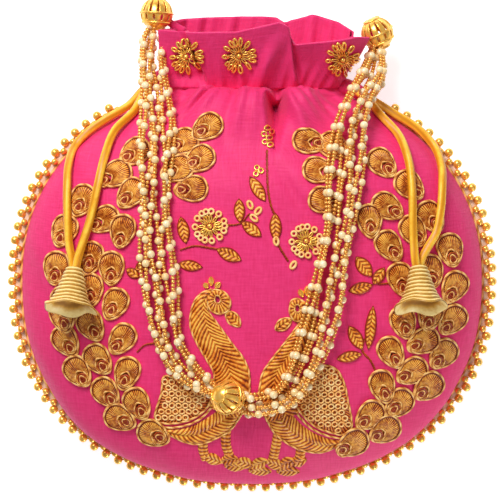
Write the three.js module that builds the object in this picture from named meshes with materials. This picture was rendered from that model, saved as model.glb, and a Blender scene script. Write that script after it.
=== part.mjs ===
// Drawstring pouch bag (potli) lying on its back, front panel up, mouth toward +Y.
// Millimetres, +Z up, floor at z = 0, origin under the middle of the bag.
import * as THREE from 'three';

// Pouch: two panels of silk sewn at the side seam, drawn in at the neck, frill above it
const bodyWidth = 223; // seam to seam at the widest
const bodyLength = 191; // neck gather to bottom seam
const neckY = 77; // place of the neck gather
const neckWidth = 86;
const frillWidth = 82; // across the lip of the mouth
const frillLength = 32; // neck gather to lip
const neckShift = 1.5; // the gather sits a little to the right
const frillShift = 7; // and the lip leans further right
const bellyRise = 44; // front panel above the side seam
const neckRise = 14;
const frillRise = 13;
const seamHeight = 26; // side seam above the floor, round the belly
const neckSeamHeight = 18; // and at the neck and frill
const backDrop = 29; // how far the back panel would hang below the seam with no floor
const neckDrop = 14;
const seamFallFrom = 0.5; // share of the upper body where the seam starts to come down to the neck
const neckLeanFrom = 0.6; // and where the neck starts to lean right
const outlinePower = 2.25; // roundness of the outline seen from the front
const profilePower = 2.6; // roundness of the belly seen from the side
const frontPower = 2.2; // roundness of the front cross-section
const backPower = 2.8; // the back is squarer where it lies on the floor
const clothThickness = 1.2;
const liningThickness = 0.8;
const liningClearance = 0.8; // between the silk and its lining
const gap = 0.3; // between pieces that touch

// Slits in the side seams, where the drawstrings come out of the neck channel
const slitY = 79.5;
const slitHalf = 6;
const slitFade = 5;
const slitRoom = 1.25; // half the open slit, in cord diameters
const openShare = 0.6; // most of the rise that a slit may take

// Drawstrings: satin cord, two free strands a side that end in one bell
const cordDiameter = 4;
const rightRingY = 77.4;
const leftRingY = rightRingY + cordDiameter + gap * 2; // the left loop lies just above the right one
const ringReach = 78; // degrees round each half of the neck
const channelClearance = 0.8;

// Bells at the cord ends
const bellTopRadius = 4.5;
const bellRimRadius = 13;
const bellLength = 20;
const bellWall = 1.5;
const bellReach = 0.92; // share of the length seen from above as it lies

// Beaded trim on the side seam
const trimDiameter = 6;
const trimTopY = 64;

// Beaded handle: eight strands a side, filigree balls at both ends and in the middle
const strandDiameter = 3.2;
const strandPitchEnds = 3.6;
const strandPitchMiddle = 4.2;
const ballRadius = 8;
const ballBore = 2.6;
const tabDiameter = 4.2; // cloth tabs that carry the end balls
const leftBall = [-46, 112.4, neckSeamHeight];
const rightBall = [60.4, 103, neckSeamHeight];
const middleBallAt = [-11.8, -64.1];
const leftStandoff = 1.8; // between a ball and the ends of the strands at it
const rightStandoff = 2.6;
const middleStandoff = 1.4;
const leftTabRoot = -31; // where the left tab leaves the lip
const restClearance = 0.6; // what lies on the cloth stays this far above it

// Where strands end at the middle ball, in its direction and clear of it
const besideMiddle = (x, y) => {
  const reach = (ballRadius + middleStandoff) / Math.hypot(x, y);
  return [middleBallAt[0] + x * reach, middleBallAt[1] + y * reach, 0];
};

// Hand-chosen routes. The third number is the height, and 0 lies on the cloth.
const leftHandleRoute = [
  [leftBall[0] - 0.6, leftBall[1] - ballRadius - leftStandoff, leftBall[2] + 1],
  [-47.6, 96, 24], [-47.6, 90, 29], [-46.5, 79, 36], [-45, 68, 42],
  [-45, 50, 0], [-45.4, 32.6, 0], [-45.3, 14.2, 0], [-44.4, 0, 0], [-42.6, -14, 0],
  [-40.6, -33, 0], [-37.6, -42.4, 0], [-31.5, -52, 0], [-26, -58, 0], besideMiddle(-9, 2.7),
];
const rightHandleRoute = [
  besideMiddle(8.2, -2.9), [4.5, -70.3, 0], [12.9, -67, 0], [20.4, -59, 0], [26.2, -45.9, 0],
  [31.3, -30.6, 0], [34.1, -20.2, 0], [36.9, -3.7, 0], [40.1, 11.7, 0], [43.9, 32.4, 0], [46.4, 46, 0],
  [49.6, 62.6, 49], [52.8, 71, 43], [56.9, 79, 36.5], [60.4, 86, 28],
  [rightBall[0] + 1, rightBall[1] - ballRadius - rightStandoff, rightBall[2] + 2],
];
const leftOuterRoute = [
  [-47.5, 80, 15.4], [-53, 75.5, 19], [-59, 69, 23.5], [-70, 62.5, 27], [-80.5, 55, 28], [-87, 48, 31],
  [-87.6, 41, 0], [-87.6, 33, 0], [-87.4, 21.5, 0], [-86.4, 5.4, 0], [-85.7, -2, 0],
];
const leftInnerRoute = [
  [-47.5, 80.2, 22], [-52, 74.5, 26], [-56.5, 66.8, 0], [-65.4, 58, 0], [-69.6, 47, 0], [-72.6, 33.8, 0],
  [-76.3, 17.5, 0], [-79.6, 5, 0], [-81.1, -2, 0],
];
const rightOuterRoute = [
  [48.5, 76.2, 15.4], [55.5, 72.5, 19.5], [62, 68.8, 24], [69, 64.5, 26.5], [80.5, 57, 28], [89.5, 47.5, 31],
  [90.6, 40, 0], [90.2, 33, 0], [89.2, 21.4, 0], [87, 11.3, 0], [82.8, 4.5, 0], [80.5, -1, 0],
];
const rightInnerRoute = [
  [48.5, 76.2, 22], [53.5, 73, 25.5], [58, 68.8, 28], [62, 64.3, 0], [69.7, 56, 0], [73.9, 45, 0],
  [75.3, 31.4, 0], [75.6, 15.2, 0], [75.8, -1, 0],
];
const leftBell = { apex: [-83.5, -4.8], toward: [-0.12, -1] };
const rightBell = { apex: [78.2, -3.8], toward: [0.04, -1] };

// Facets
const bodyRows = 14;
const frillRows = 4;
const columns = 16;
const cordSides = 8;
const ballSides = 18;
const bellSides = 24;

const midY = neckY - bodyLength / 2;
const lipY = neckY + frillLength;

const smooth = (t) => THREE.MathUtils.smoothstep(t, 0, 1);
const lobe = (v, power) => Math.max(0, 1 - Math.abs(v) ** power) ** (1 / power);

// A size along the body: full at the middle, nothing at the bottom seam, and the neck's own at the gather.
function swell(v, full, power, neck) {
  const sharpness = 6;
  const body = full * lobe(v, power);
  return (body ** sharpness + (neck * Math.max(v, 0)) ** sharpness) ** (1 / sharpness);
}

// Half the gap in the side seam: a hair all round, and the slits at the neck.
function seamHalfGap(y) {
  const open = 1 - smooth((Math.abs(y - slitY) - slitHalf) / slitFade);
  return gap / 2 + (cordDiameter * slitRoom + gap) * open;
}

// The pouch's cross-section at y, moved inwards by inset.
function section(y, inset = 0) {
  if (y > neckY) {
    const t = (y - neckY) / frillLength;
    return {
      y,
      half: THREE.MathUtils.lerp(neckWidth, frillWidth, t) / 2 - inset,
      rise: THREE.MathUtils.lerp(neckRise, frillRise, t) - inset,
      drop: neckDrop - inset,
      seam: neckSeamHeight,
      centre: THREE.MathUtils.lerp(neckShift, frillShift, t),
    };
  }
  const v = Math.max(-1, (y - midY) / (bodyLength / 2));
  const moved = (power) => (v < 0 ? inset * lobe(v, power) : inset);
  return {
    y: v < 0 ? midY + v * (bodyLength / 2 - inset) : y,
    half: swell(v, bodyWidth / 2, outlinePower, neckWidth / 2) - moved(outlinePower),
    rise: swell(v, bellyRise, profilePower, neckRise) - moved(profilePower),
    drop: swell(v, backDrop, profilePower, neckDrop) - moved(profilePower),
    seam: THREE.MathUtils.lerp(seamHeight, neckSeamHeight, smooth((v - seamFallFrom) / (1 - seamFallFrom))),
    centre: neckShift * smooth((v - neckLeanFrom) / (1 - neckLeanFrom)),
  };
}

// A point on a panel: side is 1 for the front and -1 for the back, angle runs from seam to seam.
function panelPoint(y, angle, side, inset, seamOpening) {
  const s = section(y, inset);
  const power = side > 0 ? frontPower : backPower;
  const across = Math.sign(angle) * Math.abs(Math.sin(angle)) ** (2 / power);
  const away = Math.max(0, Math.cos(angle)) ** (2 / power);
  const halfGap = Math.min(seamOpening, s.rise * openShare);
  const reach = side > 0 ? s.rise : s.drop;
  const z = s.seam + side * (halfGap + Math.max(0, reach - halfGap) * away);
  return new THREE.Vector3(s.centre + s.half * across, s.y, Math.max(z, side < 0 ? inset : 0));
}

// Height of the front panel above the floor at x, y.
function frontHeight(x, y) {
  if (y > lipY || y < neckY - bodyLength) return 0;
  const s = section(y);
  const across = Math.abs((x - s.centre) / s.half);
  if (!(across < 1)) return 0;
  return s.seam + s.rise * (1 - across ** frontPower) ** (1 / frontPower);
}

// Lowest place for the middle of something round of this radius at x, y.
function restHeight(x, y, radius) {
  let z = frontHeight(x, y) + radius;
  const directions = 12;
  const rings = 3;
  for (let ring = 1; ring <= rings; ring += 1) {
    const out = (radius * ring) / rings;
    for (let k = 0; k < directions; k += 1) {
      const angle = (k / directions) * Math.PI * 2;
      const under = frontHeight(x + out * Math.cos(angle), y + out * Math.sin(angle));
      z = Math.max(z, under + Math.sqrt(Math.max(0, radius * radius - out * out)));
    }
  }
  return z + restClearance;
}

// Rows from the bottom seam to the lip: close together where the outline turns,
// and one at each edge of the slits.
function rowPlaces() {
  const edge = slitHalf + slitFade;
  const middle = slitHalf / 2;
  const slitRows = [-edge, -slitHalf, -middle, 0, middle, slitHalf, edge].map((d) => slitY + d);
  const places = [];
  for (let i = 0; i <= bodyRows; i += 1) {
    const y = midY - (Math.cos((Math.PI * i) / bodyRows) * bodyLength) / 2;
    if (y < slitRows[0] - slitFade / 2) places.push(y);
  }
  places.push(...slitRows);
  const frillStart = slitRows.at(-1);
  for (let i = 1; i <= frillRows; i += 1) places.push(frillStart + ((lipY - frillStart) * i) / frillRows);
  return places;
}

// A sewn panel as a closed shell: an outer and an inner skin joined along the seam and the lip.
function panelGeometry(side, thickness, insetAt = () => 0, openingAt = seamHalfGap) {
  const rows = rowPlaces();
  const positions = [];
  const index = [];
  const skins = [0, thickness].map((extra) => rows.map((y, i) => {
    const row = [];
    const count = i === 0 ? 0 : columns;
    for (let j = 0; j <= count; j += 1) {
      const angle = i === 0 ? -Math.PI / 2 : -Math.PI / 2 + (Math.PI * j) / columns;
      const point = panelPoint(y, angle, side, insetAt(y) + extra, openingAt(y));
      if (i === 0) point.x = 0;
      positions.push(point.x, point.y, point.z);
      row.push(positions.length / 3 - 1);
    }
    return row;
  }));
  const quad = (a, b, c, d) => index.push(a, b, c, a, c, d);
  skins.forEach((grid, skin) => {
    const outward = (skin === 0) === (side > 0);
    for (let i = 1; i < grid.length; i += 1) {
      for (let j = 0; j < columns; j += 1) {
        const [a, b, c, d] = [grid[i - 1][j], grid[i - 1][j + 1], grid[i][j + 1], grid[i][j]];
        if (i === 1) index.push(...(outward ? [grid[0][0], c, d] : [grid[0][0], d, c]));
        else if (outward) quad(a, b, c, d);
        else quad(d, c, b, a);
      }
    }
  });
  const [outer, inner] = skins;
  const edge = (a, b, c, d) => (side > 0 ? quad(a, b, c, d) : quad(d, c, b, a));
  const last = outer.length - 1;
  for (let i = 1; i <= last; i += 1) {
    const from = i === 1 ? 0 : columns;
    edge(outer[i - 1][0], outer[i][0], inner[i][0], inner[i - 1][0]);
    edge(inner[i - 1][from], inner[i][columns], outer[i][columns], outer[i - 1][from]);
  }
  for (let j = 0; j < columns; j += 1) {
    edge(outer[last][j], outer[last][j + 1], inner[last][j + 1], inner[last][j]);
  }
  const geometry = new THREE.BufferGeometry();
  geometry.setAttribute('position', new THREE.Float32BufferAttribute(positions, 3));
  geometry.setIndex(index);
  return geometry;
}

// A round cord along a list of points.
function cordGeometry(points, diameter, steps) {
  const outline = new THREE.Shape();
  for (let k = 0; k < cordSides; k += 1) {
    const angle = (k / cordSides) * Math.PI * 2;
    const place = [(Math.cos(angle) * diameter) / 2, (Math.sin(angle) * diameter) / 2];
    if (k === 0) outline.moveTo(...place);
    else outline.lineTo(...place);
  }
  outline.closePath();
  const extrudePath = new THREE.CatmullRomCurve3(points, false, 'centripetal');
  return new THREE.ExtrudeGeometry(outline, { steps, extrudePath });
}

// A route's points, those with no height of their own laid on the cloth.
const settle = (route, radius) => route.map(
  ([x, y, z]) => new THREE.Vector3(x, y, z || restHeight(x, y, radius)),
);

const silk = { color: 0xe23a7e, roughness: 0.45, metalness: 0 };
const cotton = { color: 0xd8487f, roughness: 0.8, metalness: 0 };
const satin = { color: 0xe8b04a, roughness: 0.4, metalness: 0.1 };
const yarn = { color: 0xead28a, roughness: 0.7, metalness: 0.1 };
const gilt = { color: 0xd9a441, roughness: 0.25, metalness: 1 };
const pearl = { color: 0xf1e4cc, roughness: 0.25, metalness: 0 };

const bag = new THREE.Group();
function add(name, geometry, finish) {
  const mesh = new THREE.Mesh(geometry, new THREE.MeshStandardMaterial(finish));
  mesh.name = name;
  bag.add(mesh);
  return mesh;
}

// Panels and lining. The lining stands off at the neck to make the drawstring channel.
const channelDepth = cordDiameter + channelClearance;
function liningInset(y) {
  const reach = Math.abs(y - slitY) - slitHalf;
  return clothThickness + liningClearance + channelDepth * (1 - smooth(reach / slitFade));
}
const closedSeam = () => gap / 2;
add('front_panel', panelGeometry(1, clothThickness), silk);
add('back_panel', panelGeometry(-1, clothThickness), silk);
add('front_lining', panelGeometry(1, liningThickness, liningInset, closedSeam), cotton);
add('back_lining', panelGeometry(-1, liningThickness, liningInset, closedSeam), cotton);

// Beaded trim along the side seam, from shoulder to shoulder round the bottom
function trimPoints() {
  const turn = Math.acos(-(trimTopY - midY) / (bodyLength / 2));
  const steps = 24;
  const seamAt = (angle) => {
    const s = section(midY - (Math.cos(angle) * bodyLength) / 2);
    return new THREE.Vector3(s.half, s.y, s.seam);
  };
  const side = [];
  const nudge = 0.01;
  const outset = trimDiameter / 2 + gap * 2;
  for (let i = 1; i <= steps; i += 1) {
    const angle = (turn * i) / steps;
    const along = seamAt(angle + nudge).sub(seamAt(angle - nudge)).setZ(0).normalize();
    side.push(seamAt(angle).add(new THREE.Vector3(along.y, -along.x, 0).multiplyScalar(outset)));
  }
  const left = side.map((p) => new THREE.Vector3(-p.x, p.y, p.z)).reverse();
  const bottom = new THREE.Vector3(0, neckY - bodyLength - outset, seamHeight);
  return [...left, bottom, ...side];
}
add('bead_trim', cordGeometry(trimPoints(), trimDiameter, 72), gilt);

// Drawstring loops in the neck channel, open at the side that their strands leave from
function ringPoints(y, openSide) {
  const inset = clothThickness + channelClearance + cordDiameter / 2;
  const reach = THREE.MathUtils.degToRad(ringReach);
  const samples = 12;
  const front = [];
  const back = [];
  for (let i = 0; i <= samples; i += 1) {
    const angle = openSide * (reach - (reach * 2 * i) / samples);
    front.push(panelPoint(y, angle, 1, inset, gap));
    back.push(panelPoint(y, -angle, -1, inset, gap));
  }
  return [...front, ...back];
}
const leftRing = ringPoints(leftRingY, -1);
const rightRing = ringPoints(rightRingY, 1);
const ringSteps = 40;
add('left_channel_cord', cordGeometry(leftRing, cordDiameter, ringSteps), satin);
add('right_channel_cord', cordGeometry(rightRing, cordDiameter, ringSteps), satin);

// Free strands: from the loop's end, straight out of the slit and down to the bell
function strandFrom(ring, end, route, outward) {
  const start = (end === 'front' ? ring[0] : ring[ring.length - 1]).clone();
  start.x += outward * (cordDiameter / 2 + gap);
  return [start, ...settle(route, cordDiameter / 2)];
}
const cordSteps = 22;
const freeCords = {
  left_cord_outer: strandFrom(leftRing, 'back', leftOuterRoute, -1),
  left_cord_inner: strandFrom(leftRing, 'front', leftInnerRoute, -1),
  right_cord_outer: strandFrom(rightRing, 'back', rightOuterRoute, 1),
  right_cord_inner: strandFrom(rightRing, 'front', rightInnerRoute, 1),
};
Object.entries(freeCords).forEach(([name, points]) => {
  add(name, cordGeometry(points, cordDiameter, cordSteps), satin);
});

// Bells of wound yarn: a flared cup hung by its closed top, lying on the cloth
function bellGeometry() {
  const flare = new THREE.SplineCurve([
    new THREE.Vector2(bellTopRadius, 0),
    new THREE.Vector2(bellTopRadius * 1.2, -bellLength * 0.3),
    new THREE.Vector2(bellRimRadius * 0.62, -bellLength * 0.7),
    new THREE.Vector2(bellRimRadius, -bellLength),
  ]).getPoints(6);
  const inside = flare.slice(1).map((p) => new THREE.Vector2(p.x - bellWall, p.y));
  const hollowTop = new THREE.Vector2(0, -bellLength * 0.15);
  const top = new THREE.Vector2(0, 0);
  return new THREE.LatheGeometry([hollowTop, ...inside, ...flare.reverse(), top], bellSides);
}
function addBell(name, { apex, toward }) {
  const [x, y] = apex;
  const top = new THREE.Vector3(x, y, restHeight(x, y, bellTopRadius));
  const flat = new THREE.Vector2(...toward).normalize().multiplyScalar(bellLength * bellReach);
  const rim = new THREE.Vector3(x + flat.x, y + flat.y, 0);
  rim.z = restHeight(rim.x, rim.y, bellRimRadius);
  const mesh = add(name, bellGeometry(), yarn);
  mesh.position.copy(top);
  const down = rim.sub(top).normalize();
  mesh.quaternion.setFromUnitVectors(new THREE.Vector3(0, -1, 0), down);
}
addBell('left_bell', leftBell);
addBell('right_bell', rightBell);

// Filigree balls, bored through. The end balls turn on the cloth tabs.
function ballGeometry() {
  const start = Math.asin(ballBore / ballRadius);
  const profile = [];
  const steps = 9;
  for (let i = 0; i <= steps; i += 1) {
    const angle = start + ((Math.PI - 2 * start) * i) / steps;
    profile.push(new THREE.Vector2(ballRadius * Math.sin(angle), -ballRadius * Math.cos(angle)));
  }
  profile.push(profile[0].clone());
  return new THREE.LatheGeometry(profile, ballSides);
}
function addBall(name, centre, along) {
  const mesh = add(name, ballGeometry(), gilt);
  mesh.position.copy(centre);
  mesh.quaternion.setFromUnitVectors(new THREE.Vector3(0, 1, 0), along);
}
const leftEnd = new THREE.Vector3(...leftBall);
const rightEnd = new THREE.Vector3(...rightBall);
const hingeLine = rightEnd.clone().sub(leftEnd).normalize();
const middle = new THREE.Vector3(...middleBallAt, restHeight(...middleBallAt, ballRadius));
const throughMiddle = new THREE.Vector3(
  rightHandleRoute[0][0] - leftHandleRoute.at(-1)[0], rightHandleRoute[0][1] - leftHandleRoute.at(-1)[1], 0,
).normalize();
addBall('left_end_ball', leftEnd, hingeLine);
addBall('right_end_ball', rightEnd, hingeLine);
addBall('middle_ball', middle, throughMiddle);

// Cloth tabs from the lip and the side seam into the end balls
const onHinge = (x) => leftEnd.clone().addScaledVector(hingeLine, (x - leftEnd.x) / hingeLine.x);
const rightTabRoot = section(rightEnd.y).centre + section(rightEnd.y).half + gap * 2;
const tabSteps = 3;
add('left_tab', cordGeometry([onHinge(leftTabRoot), leftEnd], tabDiameter, tabSteps), silk);
add('right_tab', cordGeometry([onHinge(rightTabRoot), rightEnd], tabDiameter, tabSteps), silk);

// Handle strands: five lie on the cloth and three ride on them
const strandPlaces = [
  [-2, 0], [-1, 0], [0, 0], [1, 0], [2, 0], [-1, 1], [0, 1], [1, 1],
];
function strandPoints(route, across, layer) {
  const line = new THREE.CatmullRomCurve3(settle(route, strandDiameter / 2), false, 'centripetal');
  const samples = 18;
  const points = [];
  for (let i = 0; i <= samples; i += 1) {
    const t = i / samples;
    const along = line.getTangentAt(t);
    const sideways = new THREE.Vector3(-along.y, along.x, 0).normalize();
    const spread = Math.sin(Math.PI * t);
    const pitch = THREE.MathUtils.lerp(strandPitchEnds, strandPitchMiddle, spread);
    const point = line.getPointAt(t).addScaledVector(sideways, across * pitch);
    point.z = Math.max(point.z, restHeight(point.x, point.y, strandDiameter / 2));
    points.push(point.addScaledVector(along.cross(sideways), layer * strandPitchMiddle));
  }
  return points;
}
const strandSteps = 16;
Object.entries({ left: leftHandleRoute, right: rightHandleRoute }).forEach(([half, route]) => {
  strandPlaces.forEach(([across, layer], k) => {
    const points = strandPoints(route, across, layer);
    add(`${half}_strand_${k + 1}`, cordGeometry(points, strandDiameter, strandSteps), pearl);
  });
});

export default bag;
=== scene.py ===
"""Drawstring pouch bag (potli) of pink silk with gold embroidery, lying on its back.

Lengths in this file are millimetres unless a name says otherwise, and meshes are written in metres.
"""
import math

import bmesh
import bpy
import numpy as np
from mathutils import Matrix, Vector
from mathutils.bvhtree import BVHTree


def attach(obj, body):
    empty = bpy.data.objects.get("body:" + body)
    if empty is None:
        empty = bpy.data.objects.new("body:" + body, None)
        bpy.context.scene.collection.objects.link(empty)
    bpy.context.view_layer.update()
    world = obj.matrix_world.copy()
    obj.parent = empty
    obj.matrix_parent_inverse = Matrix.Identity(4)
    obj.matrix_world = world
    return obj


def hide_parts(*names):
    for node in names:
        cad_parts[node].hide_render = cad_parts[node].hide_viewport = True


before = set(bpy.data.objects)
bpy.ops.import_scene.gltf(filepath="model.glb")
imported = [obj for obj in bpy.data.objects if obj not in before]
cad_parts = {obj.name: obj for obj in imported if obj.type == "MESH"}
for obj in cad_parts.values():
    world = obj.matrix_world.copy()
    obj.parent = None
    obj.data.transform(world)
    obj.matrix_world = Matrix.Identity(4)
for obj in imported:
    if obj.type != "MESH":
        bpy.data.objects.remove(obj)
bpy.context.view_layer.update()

bl_info = {
    "name": "Potli Bag",
    "version": (1, 0, 0),
    "blender": (4, 5, 0),
    "location": "View3D > Sidebar > Potli",
    "description": "Builds an embroidered drawstring pouch around its packed frame",
    "category": "Object",
}

MM = 0.001
BAG, HANDLE = "bag", "handle"

# The photograph's frame, which pixel places below are given in
PHOTO_WIDTH, PHOTO_HEIGHT = 500, 494
MM_PER_PIXEL = 0.485
CAMERA_TARGET = (-1.0, 0.0, 26.0)
CAMERA_DISTANCE = 1200.0
CAMERA_LEAN = math.radians(8)  # towards the mouth, from straight above

# Pouch shape, as the CAD panels have it
BODY_WIDTH, BODY_LENGTH, NECK_Y = 223.0, 191.0, 77.0
NECK_WIDTH, FRILL_WIDTH, FRILL_LENGTH = 86.0, 82.0, 32.0
NECK_SHIFT, FRILL_SHIFT = 1.5, 7.0
BELLY_RISE, NECK_RISE, FRILL_RISE = 44.0, 14.0, 13.0
BACK_DROP, NECK_DROP = 29.0, 14.0
SEAM_HEIGHT, NECK_SEAM_HEIGHT = 26.0, 18.0
OUTLINE_POWER, PROFILE_POWER = 2.25, 2.6
FRONT_POWER, BACK_POWER = 2.2, 2.8
MID_Y = NECK_Y - BODY_LENGTH / 2
LIP_Y = NECK_Y + FRILL_LENGTH


class PotliSizes(bpy.types.PropertyGroup):
    """Sizes of the finished pieces"""

    silk_thickness: bpy.props.FloatProperty(
        name="Silk thickness", description="Thickness of the padded outer silk",
        default=0.0009, unit="LENGTH")
    pearl_diameter: bpy.props.FloatProperty(
        name="Pearl diameter", description="Cream beads on the handle strands",
        default=0.0039, unit="LENGTH")
    seed_diameter: bpy.props.FloatProperty(
        name="Seed bead diameter", description="Small gilt beads between the pearls",
        default=0.0023, unit="LENGTH")
    pearl_spacing: bpy.props.FloatProperty(
        name="Pearl spacing", description="Distance from pearl to pearl along a strand",
        default=0.0112, unit="LENGTH")
    trim_bead_diameter: bpy.props.FloatProperty(
        name="Trim bead diameter", description="Outer gilt beads round the seam",
        default=0.0046, unit="LENGTH")
    trim_spacing: bpy.props.FloatProperty(
        name="Trim spacing", description="Distance from outer bead to outer bead",
        default=0.0067, unit="LENGTH")
    cord_diameter: bpy.props.FloatProperty(
        name="Drawstring diameter", description="Twisted satin drawstring",
        default=0.004, unit="LENGTH")


class PotliColours(bpy.types.PropertyGroup):
    """Base colours as sRGB hex text"""

    silk: bpy.props.StringProperty(name="Silk", description="Outer cloth", default="F23E82")
    silk_shade: bpy.props.StringProperty(
        name="Silk shade", description="Darker slubs of the outer cloth", default="E02C68")
    lining: bpy.props.StringProperty(name="Lining", description="Inner cloth", default="C22A68")
    # Zari is the bright tone on the crests of the stitches, with painted highlight, and zari shade the
    # middle tone, painted shade towards the hollows
    zari: bpy.props.StringProperty(name="Zari", description="Metal thread stitching", default="FFC454")
    zari_shade: bpy.props.StringProperty(
        name="Zari shade", description="Metal thread in the hollows of the stitching", default="E87C20")
    couching: bpy.props.StringProperty(
        name="Couched cord", description="Light gold cord round each motif", default="FFD080")
    gilt: bpy.props.StringProperty(name="Gilt", description="Beads, sequins and filigree", default="FFD070")
    satin: bpy.props.StringProperty(name="Satin cord", description="Drawstrings", default="EEA622")
    yarn: bpy.props.StringProperty(name="Yarn", description="Wound bells", default="FFE398")
    pearl: bpy.props.StringProperty(name="Pearl", description="Handle beads", default="FFF0C8")


# Shape of the pouch

def smooth(t):
    """Smooth step from 0 to 1."""
    t = np.clip(t, 0.0, 1.0)
    return t * t * (3 - 2 * t)


def lobe(v, power):
    """Rounded arch that is 1 at v = 0 and 0 at both ends; more power makes it squarer."""
    return np.maximum(0.0, 1 - np.abs(v) ** power) ** (1 / power)


def swell(v, full, power, neck):
    """The body's arch, blended towards the neck's size at its upper end."""
    sharpness = 6
    body = full * lobe(v, power)
    return (body ** sharpness + (neck * np.maximum(v, 0)) ** sharpness) ** (1 / sharpness)


def section(y):
    """Half width, front rise, back drop, seam height and middle of the pouch at y."""
    y = np.asarray(y, float)
    v = np.clip((y - MID_Y) / (BODY_LENGTH / 2), -1, 1)
    t = np.clip((y - NECK_Y) / FRILL_LENGTH, 0, 1.3)
    up = y > NECK_Y
    half = np.where(up, (NECK_WIDTH + (FRILL_WIDTH - NECK_WIDTH) * t) / 2,
                    swell(v, BODY_WIDTH / 2, OUTLINE_POWER, NECK_WIDTH / 2))
    rise = np.where(up, NECK_RISE + (FRILL_RISE - NECK_RISE) * t,
                    swell(v, BELLY_RISE, PROFILE_POWER, NECK_RISE))
    drop = np.where(up, NECK_DROP, swell(v, BACK_DROP, PROFILE_POWER, NECK_DROP))
    seam = np.where(up, NECK_SEAM_HEIGHT,
                    SEAM_HEIGHT + (NECK_SEAM_HEIGHT - SEAM_HEIGHT) * smooth((v - 0.5) * 2))
    middle = np.where(up, NECK_SHIFT + (FRILL_SHIFT - NECK_SHIFT) * t, NECK_SHIFT * smooth((v - 0.6) / 0.4))
    return half, rise, drop, seam, middle


def turns(count):
    """Angles of count even steps round a circle."""
    return np.linspace(0, 2 * np.pi, count, endpoint=False)


def bump(t):
    """Smooth hill that is 1 at t = 0 and 0 from |t| = 1 on."""
    return 1 - smooth(np.abs(t))


def ripple(s, waves):
    """Irregular folds: a sum of (waves per unit, phase, share) along s."""
    return sum(share * np.sin(2 * np.pi * (count * s + phase)) for count, phase, share in waves)


NECK_WAVES = [(3.1, 0.12, 0.5), (5.3, 0.55, 0.6), (8.7, 0.31, 0.35)]
FRILL_WAVES = [(2.3, 0.4, 0.5), (4.9, 0.1, 0.5), (9.3, 0.72, 0.35)]
SCALLOP_WAVES = [(1.9, 0.3, 0.6), (4.1, 0.75, 0.5), (6.7, 0.2, 0.3)]
SLACK_WAVES = [(1.3, 0.2, 0.6), (2.1, 0.65, 0.4), (3.7, 0.45, 0.25)]

# The lip of the frill: x, then where the front lip and the back lip end
LIP_X = [-42, -34, -25, -5, 6, 12, 16, 18.5, 30, 42, 52]
FRONT_LIP = [105.5, 105, 104.5, 105, 108, 109.5, 107, 98.5, 100, 102, 101]
BACK_LIP = [108, 109.5, 110, 110.5, 110.5, 110, 107.5, 108.5, 111.5, 108, 102]


def cloth_rows(body, frill):
    """Row places: 0 to 1 up the body, crowded at both ends, then 1 to 2 up the frill to its lip."""
    turn = np.linspace(0, np.pi, body)
    return np.concatenate([(1 - np.cos(turn)) / 2, np.linspace(1, 2, frill)[1:]])


def spread(s, t):
    """The frill flares, more on the left than on the right."""
    return 1 + smooth(t * 2) * np.where(s < 0, 0.12, 0.03)


# Folds of the front: how high or deep each one is, and where it lies
FAN_FOOT_Y, FAN_HEIGHT, SLACK_HEIGHT = 34.0, 1.3, 0.7
PLEAT_X, PLEAT_FOOT_Y, PLEAT_DEPTH, CREASE_DEPTH = 12.0, 44.0, 17.0, 1.3
CORD_COVER_Y = 67.5  # from here up the cloth stays over the drawstrings
LEFT_FOLD_X, RIGHT_FOLD_X, FOLD_LEAN, FOLD_SOFTNESS = -21.5, 21.0, 5.5, 2.2
HOLLOW_X, HOLLOW_Y, HOLLOW_DEPTH = 45.0, 82.0, 4.5
FOOT_HEIGHT, SLANT_HEIGHT, WAVE_HEIGHT = 1.1, 4.2, 1.4
FRILL_OPENING = 16.0  # how far the front lip stands off the plain panel


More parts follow.
